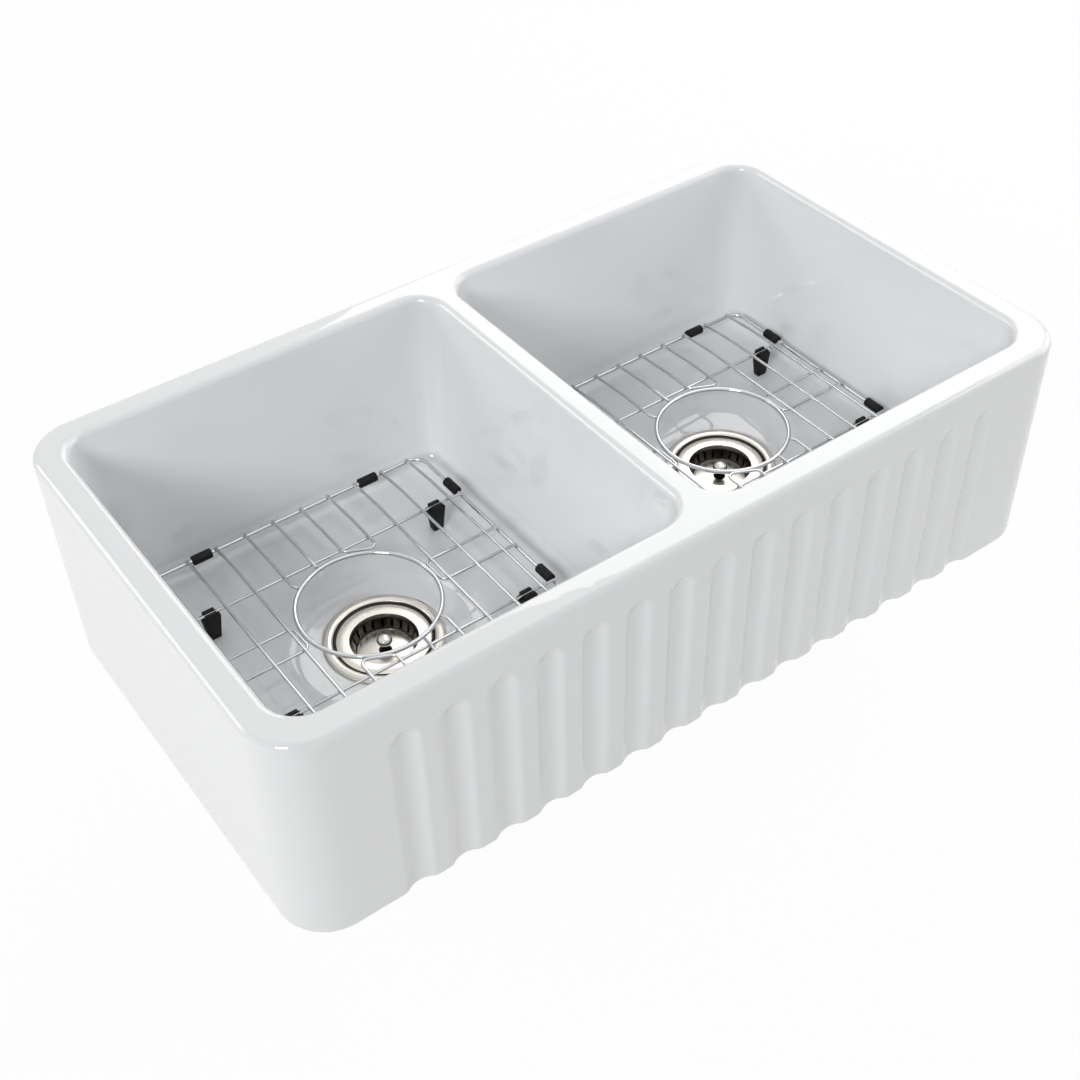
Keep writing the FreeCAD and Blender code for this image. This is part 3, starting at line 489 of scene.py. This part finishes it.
def drain_wall(bm, drain, sizes):
    """From the dished floor to the flange's seat, through the hole and out of the recess under it."""
    outer, inner = sizes.dish / 2 + 8 * MM, sizes.seat / 2
    circle = bmesh.ops.create_circle(bm, cap_ends=False, segments=96, radius=outer,
                                     matrix=Matrix.Translation((drain.x, drain.y, sizes.floor)))
    top = loop_edges(circle["verts"])
    seat = sizes.floor - sizes.seat_sink
    bevel = 3 * MM
    dish_steps = 8
    rings = []
    for step in range(1, dish_steps + 1):
        share = step / dish_steps
        rings.append((outer + (inner - outer) * share, sizes.floor - sizes.seat_sink * share))
    rings += [
        (sizes.drain_hole / 2 + bevel, seat),
        (sizes.drain_hole / 2, seat - bevel),
        (sizes.drain_hole / 2, sizes.recess_height),
        (sizes.recess / 2, sizes.recess_height),
        (sizes.recess / 2, 0.0),
    ]
    edges = top
    for radius, level in rings:
        edges = next_ring(bm, edges, lambda co: drain + Vector((co.x - drain.x, co.y - drain.y, 0)).normalized()
                          * radius + UP * level)
    return top, edges


def fill_between(bm, edges):
    """Fill a level area that is bounded by rings of edges."""
    bmesh.ops.triangle_fill(bm, edges=edges, use_beauty=True, use_dissolve=False)


class SINK_OT_ceramic_body(Operator):
    """Build the double bowl with its fluted apron"""
    bl_idname = "sink.ceramic_body"
    bl_label = "Ceramic Body"

    def execute(self, context):
        sizes = context.scene.sink_ceramic
        low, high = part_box("sink_body")
        bm = bmesh.new()
        inset = Vector((sizes.rim_round, sizes.rim_round, 0))
        centre = (low + high) / 2
        core = (high - low) / 2 - Vector((sizes.corner, sizes.corner, 0))
        cuts = round((high.x - low.x - 2 * sizes.corner) / (2 * MM))
        rim = rounded_outline(bm, low + inset, high - inset, sizes.corner - sizes.rim_round, high.z,
                              front_cuts=cuts)
        foot = outside_wall(bm, rim, centre, core, low, high, sizes)
        top_edges, bottom_edges = list(rim), list(foot)
        for side in SIDES:
            mouth, under = self.add_bowl(bm, side, low, high, sizes)
            top_edges += mouth
            bottom_edges += under
        fill_between(bm, top_edges)
        fill_between(bm, bottom_edges)
        piece = finish_piece(bm, "ceramic_sink", "sink", glazed_fireclay(), ["sink_body"])
        flats = piece.modifiers.new("true_flats", "WEIGHTED_NORMAL")
        flats.keep_sharp = True
        return {"FINISHED"}

    def add_bowl(self, bm, side, low, high, sizes):
        sign = -1 if side == "left" else 1
        outer, inner = sign * (high.x - sizes.side_wall), sign * sizes.divider / 2
        bowl_low = Vector((min(outer, inner), low.y + sizes.front_wall, 0))
        bowl_high = Vector((max(outer, inner), high.y - sizes.back_wall, 0))
        centre = (bowl_low + bowl_high) / 2
        core = (bowl_high - bowl_low) / 2 - Vector((sizes.bowl_corner, sizes.bowl_corner, 0))
        lip = Vector((sizes.lip_round, sizes.lip_round, 0))
        mouth = rounded_outline(bm, bowl_low - lip, bowl_high + lip, sizes.bowl_corner + sizes.lip_round, high.z)
        floor = bowl_wall(bm, mouth, centre, core, high.z, sizes)
        top, under = drain_wall(bm, drain_centre(side), sizes)
        fill_between(bm, floor + top)
        return mouth, under


def drain_centre(side):
    low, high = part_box(side + "_strainer_body")
    return Vector(((low.x + high.x) / 2, (low.y + high.y) / 2, 0))


# ---- strainers and baskets

class SINK_OT_strainers(Operator):
    """Build the turned strainer bodies"""
    bl_idname = "sink.strainers"
    bl_label = "Strainer Bodies"

    def execute(self, context):
        finishes = context.scene.sink_finishes
        # The joint round each basket takes a near-black steel colour: painted shade of the deep gap.
        gap_shade_steel = polished_metal("painted_shade_in_the_joint", finishes.joint_shade, 0.4, grain=2 * MM)
        for side in SIDES:
            centre = drain_centre(side)
            low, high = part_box(side + "_strainer_body")
            material = lathe_brushed_steel(side + "_strainer_steel", centre, finishes.nickel, 0.20, 0.32)
            bm = bmesh.new()
            seat = high.z - 3.2 * MM
            flange = (high.x - low.x) / 2
            metal = 1.2 * MM
            outline = [
                (19.5 * MM, low.z), (23.5 * MM, low.z), (23.5 * MM, low.z + 14 * MM), (43.2 * MM, low.z + 24 * MM),
                (43.2 * MM, seat - metal), (46.6 * MM, seat - metal), (46.6 * MM, seat), (flange, seat),
                (flange, seat + 0.9 * MM), (56.2 * MM, seat + 2.0 * MM), (54.4 * MM, seat + 2.8 * MM),
                (51.2 * MM, high.z), (48.8 * MM, seat + 2.8 * MM), (47.4 * MM, seat + 1.8 * MM),
                (46.8 * MM, seat + 0.7 * MM), (46.2 * MM, seat + 0.3 * MM), (45.6 * MM, seat),
                (42 * MM, seat), (42 * MM, low.z + 25.2 * MM), (19.5 * MM, low.z + 15.2 * MM),
            ]
            lathe(bm, outline, centre, 128, rounding=0.4 * MM)
            # Faces of the groove round the basket take the second material, the painted shade of the joint.
            for face in bm.faces:
                middle = face.calc_center_median()
                reach = (middle.xy - centre.xy).length
                face.material_index = 42.5 * MM < reach < 47.3 * MM and middle.z > seat - FINE
            finish_piece(bm, side + "_strainer_bowl", "sink", material, [side + "_strainer_body"],
                         more=[gap_shade_steel])
        return {"FINISHED"}


class SINK_OT_baskets(Operator):
    """Build the slotted baskets with their knobs and posts"""
    bl_idname = "sink.baskets"
    bl_label = "Baskets"

    def execute(self, context):
        finishes = context.scene.sink_finishes
        polish = polished_metal("polished_knob_steel", finishes.polish, 0.05)
        # The post under each knob takes a near-black copy of the knob's steel: painted shade.
        post_shade_steel = polished_metal("painted_shade_post_steel", finishes.foot, 0.14)
        for side in SIDES:
            centre = drain_centre(side)
            steel = lathe_brushed_steel(side + "_basket_steel", centre, finishes.nickel, 0.20, 0.32)
            # The basket's wall takes a darker copy of the same brushed steel: painted shade.
            wall = lathe_brushed_steel(side + "_painted_shade_basket_wall", centre, finishes.painted_wall_shade, 0.16, 0.26,
                                       line=1.5 * MM)
            self.add_cup(side, centre, steel, wall)
            self.add_post(side, centre, post_shade_steel)
            self.add_knob(side, centre, polish)
        return {"FINISHED"}

    def add_cup(self, side, centre, steel, painted_wall_shade):
        """A pressed cup: dished floor, slotted wall coloured darker as painted shade, and a rim with a rolled edge.
        """
        low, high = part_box(side + "_basket_cup")
        metal = 0.8 * MM
        seat, rim = high.z - metal, (high.x - low.x) / 2
        slots, steps = 20, 6
        floor = low.z + metal
        outline = [(3.4 * MM, floor + 1.5 * MM), (7 * MM, floor + 1.5 * MM), (20 * MM, floor + 1.0 * MM),
                   (26.4 * MM, floor + 0.3 * MM), (27.4 * MM, floor + 1.2 * MM), (27.9 * MM, floor + 3 * MM),
                   (30.0 * MM, floor + 11.5 * MM), (30.6 * MM, floor + 14 * MM), (32.2 * MM, seat + metal * 0.8),
                   (38 * MM, high.z), (rim - 1.4 * MM, high.z), (rim, seat + metal * 0.5), (rim, seat)]
        bm = bmesh.new()
        lathe(bm, outline, centre, slots * steps, closed=False)
        open_faces = []
        for face in bm.faces:
            middle = face.calc_center_median() - centre
            around = math.degrees(math.atan2(middle.y, middle.x)) % (360 / slots)
            in_wall = floor + 3 * MM < middle.z < floor + 11.5 * MM and middle.xy.length < 31 * MM
            if in_wall and 360 / slots / 3 < around < 360 / slots * 2 / 3:
                open_faces.append(face)
        bmesh.ops.delete(bm, geom=open_faces, context="FACES")
        bmesh.ops.recalc_face_normals(bm, faces=bm.faces)
        bmesh.ops.solidify(bm, geom=bm.faces, thickness=metal * 0.7)
        # Faces of the wall take the second material, the darker steel of the painted shade.
        for face in bm.faces:
            reach = (face.calc_center_median().xy - centre.xy).length
            face.material_index = 26.3 * MM < reach < 31.6 * MM
        finish_piece(bm, side + "_slotted_cup", side + "_basket", steel, [side + "_basket_cup"],
                     more=[painted_wall_shade])

    def add_post(self, side, centre, steel):
        low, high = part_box(side + "_basket_post")
        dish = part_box(side + "_basket_cup")[0].z + 2.3 * MM
        collar = low.z + 11 * MM
        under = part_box(side + "_basket_knob")[0].z + 5 * MM
        outline = [(0, low.z), (2.6 * MM, low.z), (3 * MM, low.z + 0.5 * MM), (3 * MM, collar), (10 * MM, collar),
                   (10 * MM, collar + 1.5 * MM), (3 * MM, collar + 1.5 * MM), (3 * MM, dish), (6.2 * MM, dish),
                   (5.6 * MM, dish + 1.2 * MM), (5.0 * MM, dish + 2.4 * MM), (4.6 * MM, dish + 4 * MM),
                   (4.6 * MM, under), (3 * MM, under + 1 * MM), (3 * MM, high.z), (0, high.z)]
        bm = bmesh.new()
        lathe(bm, outline, centre, 32)
        finish_piece(bm, side + "_turned_post", side + "_stopper", steel,
                     [side + "_basket_post"])

    def add_knob(self, side, centre, polish):
        """A ball pressed a little flat, cut off where the post enters it."""
        low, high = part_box(side + "_basket_knob")
        radius, flatness = (high.x - low.x) / 2 * 0.995, 0.72
        middle = Vector((centre.x, centre.y, high.z - radius * flatness))
        bm = bmesh.new()
        bmesh.ops.create_uvsphere(bm, u_segments=48, v_segments=32, radius=radius,
                                  matrix=Matrix.Translation(middle) @ Matrix.Diagonal((1, 1, flatness, 1)))
        cut = middle - UP * radius * flatness * 0.9
        bmesh.ops.bisect_plane(bm, geom=bm.verts[:] + bm.edges[:] + bm.faces[:], plane_co=cut, plane_no=UP,
                               clear_inner=True)
        bmesh.ops.holes_fill(bm, edges=[edge for edge in bm.edges if edge.is_boundary], sides=0)
        finish_piece(bm, side + "_ball_knob", side + "_stopper", polish, [side + "_basket_knob"])


# ---- wire grids

class GridPlan:
    """Where one grid's wires run, worked out from its CAD nodes."""

    def __init__(self, side, sizes):
        self.sizes = sizes
        frame_low, frame_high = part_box(side + "_grid_frame")
        cross_low, cross_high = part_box(side + "_grid_x_wires")
        long_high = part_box(side + "_grid_y_wires")[1]
        ring_low, ring_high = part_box(side + "_grid_ring")
        self.centre = (frame_low + frame_high) / 2
        self.centre.z = 0
        self.frame_radius = (frame_high.z - frame_low.z) / 2
        self.wire_radius = (cross_high.z - cross_low.z) / 2
        self.ring_radius = (ring_high.z - ring_low.z) / 2
        self.frame_level = (frame_high.z + frame_low.z) / 2
        self.cross_level = (cross_high.z + cross_low.z) / 2
        self.long_level = long_high.z - self.wire_radius
        self.ring_level = (ring_high.z + ring_low.z) / 2
        self.half_width = (frame_high.x - frame_low.x) / 2 - self.frame_radius
        self.half_depth = (frame_high.y - frame_low.y) / 2 - self.frame_radius
        self.ring_outside = (ring_high.x - ring_low.x) / 2
        self.touch = self.ring_outside + self.wire_radius
        self.outer = self.touch + sizes.outer_gap
        self.pitch = 2 * (self.half_width - sizes.edge) / (2 * sizes.positions - 1)
        self.columns = [self.pitch * (index + 0.5) for index in range(sizes.positions)]

    def spots(self, places, flip=1):
        """Places given from the grid's centre, turned half round where flip is -1."""
        return [self.centre + Vector((flip * x, flip * y, z)) for x, y, z in places]

    def long_ends(self, x):
        back, sizes = self.half_depth, self.sizes
        foot = back - sizes.slope_end
        return [(x, back + sizes.overrun, self.cross_level), (x, foot, self.cross_level),
                (x, foot - sizes.slope_run, self.long_level)]

    def long_paths(self):
        """The full wires, and for one end the hairpin, the square stub and the hooked stub at the ring."""
        sizes = self.sizes
        near, far = self.columns[:2]
        full = []
        for x in self.columns[2:]:
            back = self.long_ends(x)
            full.append(back + [(px, -py, pz) for px, py, pz in reversed(back)])
        angle = math.acos((near + far) / 2 / self.touch)
        link = [(x, (self.touch - x * math.cos(angle)) / math.sin(angle), self.long_level) for x in (near, far)]
        hairpin = self.long_ends(near) + link + list(reversed(self.long_ends(far)))
        stop = math.sqrt(self.ring_outside ** 2 - (near - self.wire_radius) ** 2)
        stub = self.long_ends(-near) + [(-near, stop, self.long_level)]
        end_x = -far + sizes.hook * math.sin(sizes.hook_turn)
        end_y = math.sqrt(self.ring_outside ** 2 - end_x ** 2)
        bend_y = end_y + sizes.hook * math.cos(sizes.hook_turn)
        hook = self.long_ends(-far) + [(-far, bend_y, self.long_level), (end_x, end_y, self.long_level)]
        return full, [hairpin, stub, hook]

    def cross_paths(self):
        """A full cross wire and a hairpin that touches the ring, each for one half of the grid."""
        sizes, level = self.sizes, self.cross_level
        reach = self.half_width + sizes.overrun
        outer, inner = self.outer, sizes.inner_spacing / 2
        return [[(-reach, outer, level), (reach, outer, level)],
                [(-reach, inner, level), (-self.touch, inner, level),
                 (-self.touch, -inner, level), (-reach, -inner, level)]]


class SINK_OT_grids(Operator):
    """Build the welded wire grids"""
    bl_idname = "sink.grids"
    bl_label = "Wire Grids"

    def execute(self, context):
        sizes = context.scene.sink_grid
        steel = polished_metal("electropolished_wire", context.scene.sink_finishes.wire, 0.08)
        for side in SIDES:
            plan = GridPlan(side, sizes)
            self.add_frame(side, plan, steel)
            self.add_ring(side, plan, steel)
            self.add_wires(side, plan, steel)
            self.add_welds(side, plan, steel)
        return {"FINISHED"}

    def add_frame(self, side, plan, steel):
        bm = bmesh.new()
        width, depth, level = plan.half_width, plan.half_depth, plan.frame_level
        corners = [(0, -depth), (width, -depth), (width, depth), (-width, depth), (-width, -depth), (0, -depth)]
        points = plan.spots([(x, y, level) for x, y in corners])
        bent_wire(bm, points, plan.frame_radius, plan.sizes.frame_bend, closed=True, sides=18)
        finish_piece(bm, side + "_frame_wire", side + "_grid", steel, [side + "_grid_frame"])

    def add_ring(self, side, plan, steel):
        bm = bmesh.new()
        radius = plan.ring_outside - plan.ring_radius
        start = plan.spots([(radius, 0, plan.ring_level)])[0]
        made = bmesh.ops.create_circle(bm, cap_ends=False, segments=18, radius=plan.ring_radius,
                                       matrix=Matrix.Translation(start) @ Matrix.Rotation(math.pi / 2, 4, "X"))
        centre = plan.spots([(0, 0, plan.ring_level)])[0]
        bmesh.ops.spin(bm, geom=made["verts"] + loop_edges(made["verts"]), cent=centre, axis=UP, dvec=(0, 0, 0),
                       angle=math.tau, steps=128, use_merge=True, use_duplicate=False)
        bmesh.ops.remove_doubles(bm, verts=bm.verts, dist=0.01 * MM)
        finish_piece(bm, side + "_ring_wire", side + "_grid", steel, [side + "_grid_ring"])

    def add_wires(self, side, plan, steel):
        full, broken = plan.long_paths()
        groups = {"y": full + broken, "x": plan.cross_paths()}
        for axis, paths in groups.items():
            bm = bmesh.new()
            for path in paths:
                for flip in (1, -1):
                    wire = bmesh.new()
                    bent_wire(wire, plan.spots(path, flip), plan.wire_radius, plan.sizes.bend)
                    merge_into(bm, wire)
            name = "%s_%s_round_wires" % (side, axis)
            finish_piece(bm, name, side + "_grid", steel, ["%s_grid_%s_wires" % (side, axis)])

    def add_welds(self, side, plan, steel):
        """The small squeezed beads where wires cross."""
        bm = bmesh.new()
        sizes, reach = plan.sizes, plan.half_width
        columns = [sign * x for x in plan.columns for sign in (-1, 1)]
        outer, inner = plan.outer, sizes.inner_spacing / 2
        upper = plan.cross_level + plan.wire_radius
        lower = plan.frame_level + plan.frame_radius
        spots = [(x, y, upper) for x in columns for y in (-outer, outer)]
        spots += [(x, y, upper) for x in columns if abs(x) > plan.touch for y in (-inner, inner)]
        spots += [(x, y, lower) for x in columns for y in (-plan.half_depth, plan.half_depth)]
        spots += [(x, y, lower) for x in (-reach, reach) for y in (-outer, -inner, inner, outer)]
        for spot in plan.spots(spots):
            squash = Matrix.Translation(spot) @ Matrix.Diagonal((1.0, 1.0, 0.55, 1.0))
            bmesh.ops.create_icosphere(bm, subdivisions=2, radius=plan.wire_radius * 1.15, matrix=squash)
        finish_piece(bm, side + "_weld_beads", side + "_grid", steel)


def merge_into(bm, other):
    """Add one bmesh to another."""
    mesh = bpy.data.meshes.new("merging")
    other.to_mesh(mesh)
    other.free()
    bm.from_mesh(mesh)
    bpy.data.meshes.remove(mesh)


class SINK_OT_grid_rubber(Operator):
    """Build the rubber feet and bumpers of the grids"""
    bl_idname = "sink.grid_rubber"
    bl_label = "Feet and Bumpers"

    def execute(self, context):
        sizes = context.scene.sink_grid
        rubber = moulded_rubber()
        for side in SIDES:
            plan = GridPlan(side, sizes)
            self.add_feet(side, plan, rubber)
            self.add_bumpers(side, plan, rubber)
        return {"FINISHED"}

    def add_feet(self, side, plan, rubber):
        """Tapered feet with two jaws that clip over the cross wire."""
        low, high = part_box(side + "_grid_feet")
        sizes = plan.sizes
        bm = bmesh.new()
        neck = plan.cross_level - plan.wire_radius
        for flip_x in (-1, 1):
            for flip_y in (-1, 1):
                at = plan.spots([(flip_x * plan.pitch * (sizes.positions - 1), flip_y * plan.outer, 0)])[0]
                self.add_block(bm, at, low.z, neck, (sizes.foot_top, sizes.foot_width), 0.8 * MM,
                               foot=(sizes.foot_base / sizes.foot_top, 0.8))
                for jaw in (-1, 1):
                    offset = Vector((0, jaw * sizes.foot_width * 0.3, 0))
                    self.add_block(bm, at + offset, neck - 1 * MM, high.z,
                                   (sizes.foot_top - 6 * MM, sizes.foot_width * 0.38), 0.7 * MM)
        finish_piece(bm, side + "_rubber_feet", side + "_grid", rubber, [side + "_grid_feet"])

    def add_block(self, bm, at, bottom, top, size, edge, foot=(1, 1)):
        """A block with rounded edges, its lower end narrowed to shares of its size."""
        block = bmesh.new()
        level = (bottom + top) / 2
        shape = Matrix.Translation((at.x, at.y, level)) @ Matrix.Diagonal((*size, top - bottom, 1))
        made = bmesh.ops.create_cube(block, size=1, matrix=shape)
        for vert in made["verts"]:
            if vert.co.z < level:
                vert.co.x = at.x + (vert.co.x - at.x) * foot[0]
                vert.co.y = at.y + (vert.co.y - at.y) * foot[1]
        bmesh.ops.bevel(block, geom=block.edges[:], offset=edge, segments=3, profile=0.5, affect="EDGES",
                        clamp_overlap=True, material=-1)
        merge_into(bm, block)

    def add_bumpers(self, side, plan, rubber):
        low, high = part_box(side + "_grid_bumpers")
        sizes = plan.sizes
        radius = (high.z - low.z) / 2
        bm = bmesh.new()
        offset = plan.pitch * (sizes.positions - 2)
        backs = [(x, plan.half_depth, "X") for x in (-offset, offset)]
        places = (plan.outer + sizes.bumper_outside, sizes.bumper_inside - plan.outer)
        rights = [(plan.half_width, y, "Y") for y in places]
        for x, y, axis in backs + rights:
            for flip in (1, -1):
                at = plan.spots([(x, y, plan.frame_level)], flip)[0]
                self.add_sleeve(bm, at, axis, radius, plan.frame_radius, sizes.bumper)
        finish_piece(bm, side + "_rubber_bumpers", side + "_grid", rubber, [side + "_grid_bumpers"])

    def add_sleeve(self, bm, at, axis, radius, bore, span):
        sleeve = bmesh.new()
        half = span / 2
        outline = [(bore, -half), (radius, -half), (radius, half), (bore, half)]
        lathe(sleeve, outline, Vector(), 28, rounding=0.9 * MM)
        turn = Matrix.Rotation(math.pi / 2, 4, "Y") if axis == "X" else Matrix.Rotation(math.pi / 2, 4, "X")
        bmesh.ops.transform(sleeve, matrix=Matrix.Translation(at) @ turn, verts=sleeve.verts)
        merge_into(bm, sleeve)


# ---- fittings under the sink keep their CAD shapes

class SINK_OT_fittings(Operator):
    """Finish the nuts, washers and tailpieces under the sink"""
    bl_idname = "sink.fittings"
    bl_label = "Fittings"

    def execute(self, context):
        finishes = context.scene.sink_finishes
        rubber, zinc, card = moulded_rubber(), cast_metal(), pressed_fibre()
        tube = polished_metal("drawn_tube_steel", finishes.wire, 0.2, grain=12 * MM)
        looks = {
            "rubber_washer": rubber, "tailpiece_washer": rubber, "basket_stopper": rubber, "friction_ring": card,
            "lock_nut": zinc, "coupling_nut": zinc, "retainer_nut": zinc, "tailpiece": tube,
        }
        for side in SIDES:
            for name, material in looks.items():
                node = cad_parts["%s_%s" % (side, name)]
                for slot in node.material_slots:
                    slot.material = material
        return {"FINISHED"}


# ---- stage

FLOOR_WHITE = 0.955  # share of the floor that the camera sees as plain white
SKY_FILL = 0.17  # strength of the background as a light on the sink
SOFTBOXES = (  # name, place in metres, side in metres, watts
    ("key_softbox", (-3.2, -1.92, 2.56), 1.2, 84),
    ("right_softbox", (2.3, -0.5, 1.2), 2.0, 28),
    ("back_right_softbox", (1.6, 1.6, 1.5), 1.8, 26),
    ("back_left_softbox", (-2.4, 2.4, 1.6), 1.6, 27),
    ("top_softbox", (0.9, 0, 2.6), 2.0, 9),
)
CAMERA_PLACE = (-0.6629, -0.9130, 1.0863)
CAMERA_ANGLES = (-34.93, 42.71, -1.683)  # azimuth, elevation and roll in degrees
CAMERA_SENSOR = 36  # mm
CAMERA_FOCUS = 1581.3 / 1080  # focal length over the picture's width


class SINK_OT_stage(Operator):
    """Set up the white floor, soft light and the camera"""
    bl_idname = "sink.stage"
    bl_label = "Stage"

    def execute(self, context):
        self.add_floor()
        self.add_world(context.scene)
        self.add_lights()
        self.add_camera(context.scene)
        context.scene.view_settings.view_transform = "Standard"
        return {"FINISHED"}

    def add_floor(self):
        """A pale floor just under the tailpieces that the camera sees as white."""
        bm = bmesh.new()
        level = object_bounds()[0][2] - 1 * MM
        bmesh.ops.create_grid(bm, x_segments=1, y_segments=1, size=6, matrix=Matrix.Translation((0, 0, level)))
        mesh = bpy.data.meshes.new("floor")
        bm.to_mesh(mesh)
        bm.free()
        floor = bpy.data.objects.new("floor", mesh)
        bpy.context.scene.collection.objects.link(floor)
        material, tree = new_material("white_paper")[:2]
        path = add_node(tree, "ShaderNodeLightPath")
        seen = add_node(tree, "ShaderNodeMath", {
            0: path.outputs["Is Camera Ray"], 1: path.outputs["Is Glossy Ray"]}, operation="MAXIMUM")
        share = add_node(tree, "ShaderNodeMath", {0: seen.outputs["Value"], 1: FLOOR_WHITE}, operation="MULTIPLY")
        paper = add_node(tree, "ShaderNodeBsdfDiffuse", {"Color": hex_colour("#F4F4F4")})
        white = add_node(tree, "ShaderNodeEmission", {"Color": (1, 1, 1, 1), "Strength": 1.0})
        mixed = add_node(tree, "ShaderNodeMixShader", {
            "Fac": share.outputs["Value"], 1: paper.outputs["BSDF"], 2: white.outputs["Emission"]})
        add_node(tree, "ShaderNodeOutputMaterial", {"Surface": mixed.outputs["Shader"]})
        mesh.materials.append(material)
        floor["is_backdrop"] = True

    def add_world(self, scene):
        world = bpy.data.worlds.new("studio")
        scene.world = world
        world.use_nodes = True
        tree = world.node_tree
        tree.nodes.clear()
        path = add_node(tree, "ShaderNodeLightPath")
        clear = add_node(tree, "ShaderNodeMath", {
            0: path.outputs["Is Camera Ray"], 1: path.outputs["Is Transmission Ray"]}, operation="MAXIMUM")
        seen = add_node(tree, "ShaderNodeMath", {
            0: clear.outputs["Value"], 1: path.outputs["Is Glossy Ray"]}, operation="MAXIMUM")
        strength = add_node(tree, "ShaderNodeMapRange", {
            "Value": seen.outputs["Value"], "To Min": SKY_FILL, "To Max": 1.0})
        sky = add_node(tree, "ShaderNodeBackground", {
            "Color": (1, 1, 1, 1), "Strength": strength.outputs["Result"]})
        add_node(tree, "ShaderNodeOutputWorld", {"Surface": sky.outputs["Background"]})

    def add_lights(self):
        """Soft boxes round the sink: a key on the left in front, and fills on the right, behind and overhead."""
        target = Vector((0, 0, 0.12))
        for name, place, size, power in SOFTBOXES:
            light = bpy.data.lights.new(name, "AREA")
            light.shape = "SQUARE"
            light.size = size
            light.energy = power
            box = bpy.data.objects.new(name, light)
            turned = (Vector(place) - target).to_track_quat("Z", "Y").to_matrix().to_4x4()
            box.matrix_world = Matrix.Translation(place) @ turned
            bpy.context.scene.collection.objects.link(box)

    def add_camera(self, scene):
        """The photograph's camera: in front on the left, looking down."""
        azimuth, elevation, roll = (math.radians(angle) for angle in CAMERA_ANGLES)
        back = Vector((math.sin(azimuth) * math.cos(elevation), -math.cos(azimuth) * math.cos(elevation),
                       math.sin(elevation)))
        level = Vector((math.cos(azimuth), math.sin(azimuth), 0))
        upright = back.cross(level)
        right = level * math.cos(roll) + upright * math.sin(roll)
        up = upright * math.cos(roll) - level * math.sin(roll)
        turned = Matrix((right, up, back)).transposed().to_4x4()
        data = bpy.data.cameras.new("photo_camera")
        data.sensor_width = CAMERA_SENSOR
        data.lens = CAMERA_SENSOR * CAMERA_FOCUS
        camera = bpy.data.objects.new("photo_camera", data)
        camera.matrix_world = Matrix.Translation(CAMERA_PLACE) @ turned
        scene.collection.objects.link(camera)
        scene.camera = camera


class SINK_PT_pieces(Panel):
    """Lists the pieces of the sink"""
    bl_label = "Apron Front Sink"
    bl_idname = "SINK_PT_pieces"
    bl_space_type = "VIEW_3D"
    bl_region_type = "UI"
    bl_category = "Sink"

    def draw(self, context):
        for operator in OPERATORS:
            self.layout.operator(operator.bl_idname)
        for group in (context.scene.sink_ceramic, context.scene.sink_grid, context.scene.sink_finishes):
            for name in group.__annotations__:
                self.layout.prop(group, name)


OPERATORS = (SINK_OT_ceramic_body, SINK_OT_strainers, SINK_OT_baskets, SINK_OT_grids, SINK_OT_grid_rubber,
             SINK_OT_fittings, SINK_OT_stage)
CLASSES = (CeramicSizes, GridSizes, Finishes) + OPERATORS + (SINK_PT_pieces,)


def register():
    for cls in CLASSES:
        bpy.utils.register_class(cls)
    bpy.types.Scene.sink_ceramic = PointerProperty(type=CeramicSizes)
    bpy.types.Scene.sink_grid = PointerProperty(type=GridSizes)
    bpy.types.Scene.sink_finishes = PointerProperty(type=Finishes)


def unregister():
    del bpy.types.Scene.sink_finishes
    del bpy.types.Scene.sink_grid
    del bpy.types.Scene.sink_ceramic
    for cls in reversed(CLASSES):
        bpy.utils.unregister_class(cls)


def main():
    register()
    bpy.ops.sink.ceramic_body()
    bpy.ops.sink.strainers()
    bpy.ops.sink.baskets()
    bpy.ops.sink.grids()
    bpy.ops.sink.grid_rubber()
    bpy.ops.sink.fittings()
    bpy.ops.sink.stage()


if __name__ == "__main__":
    main()
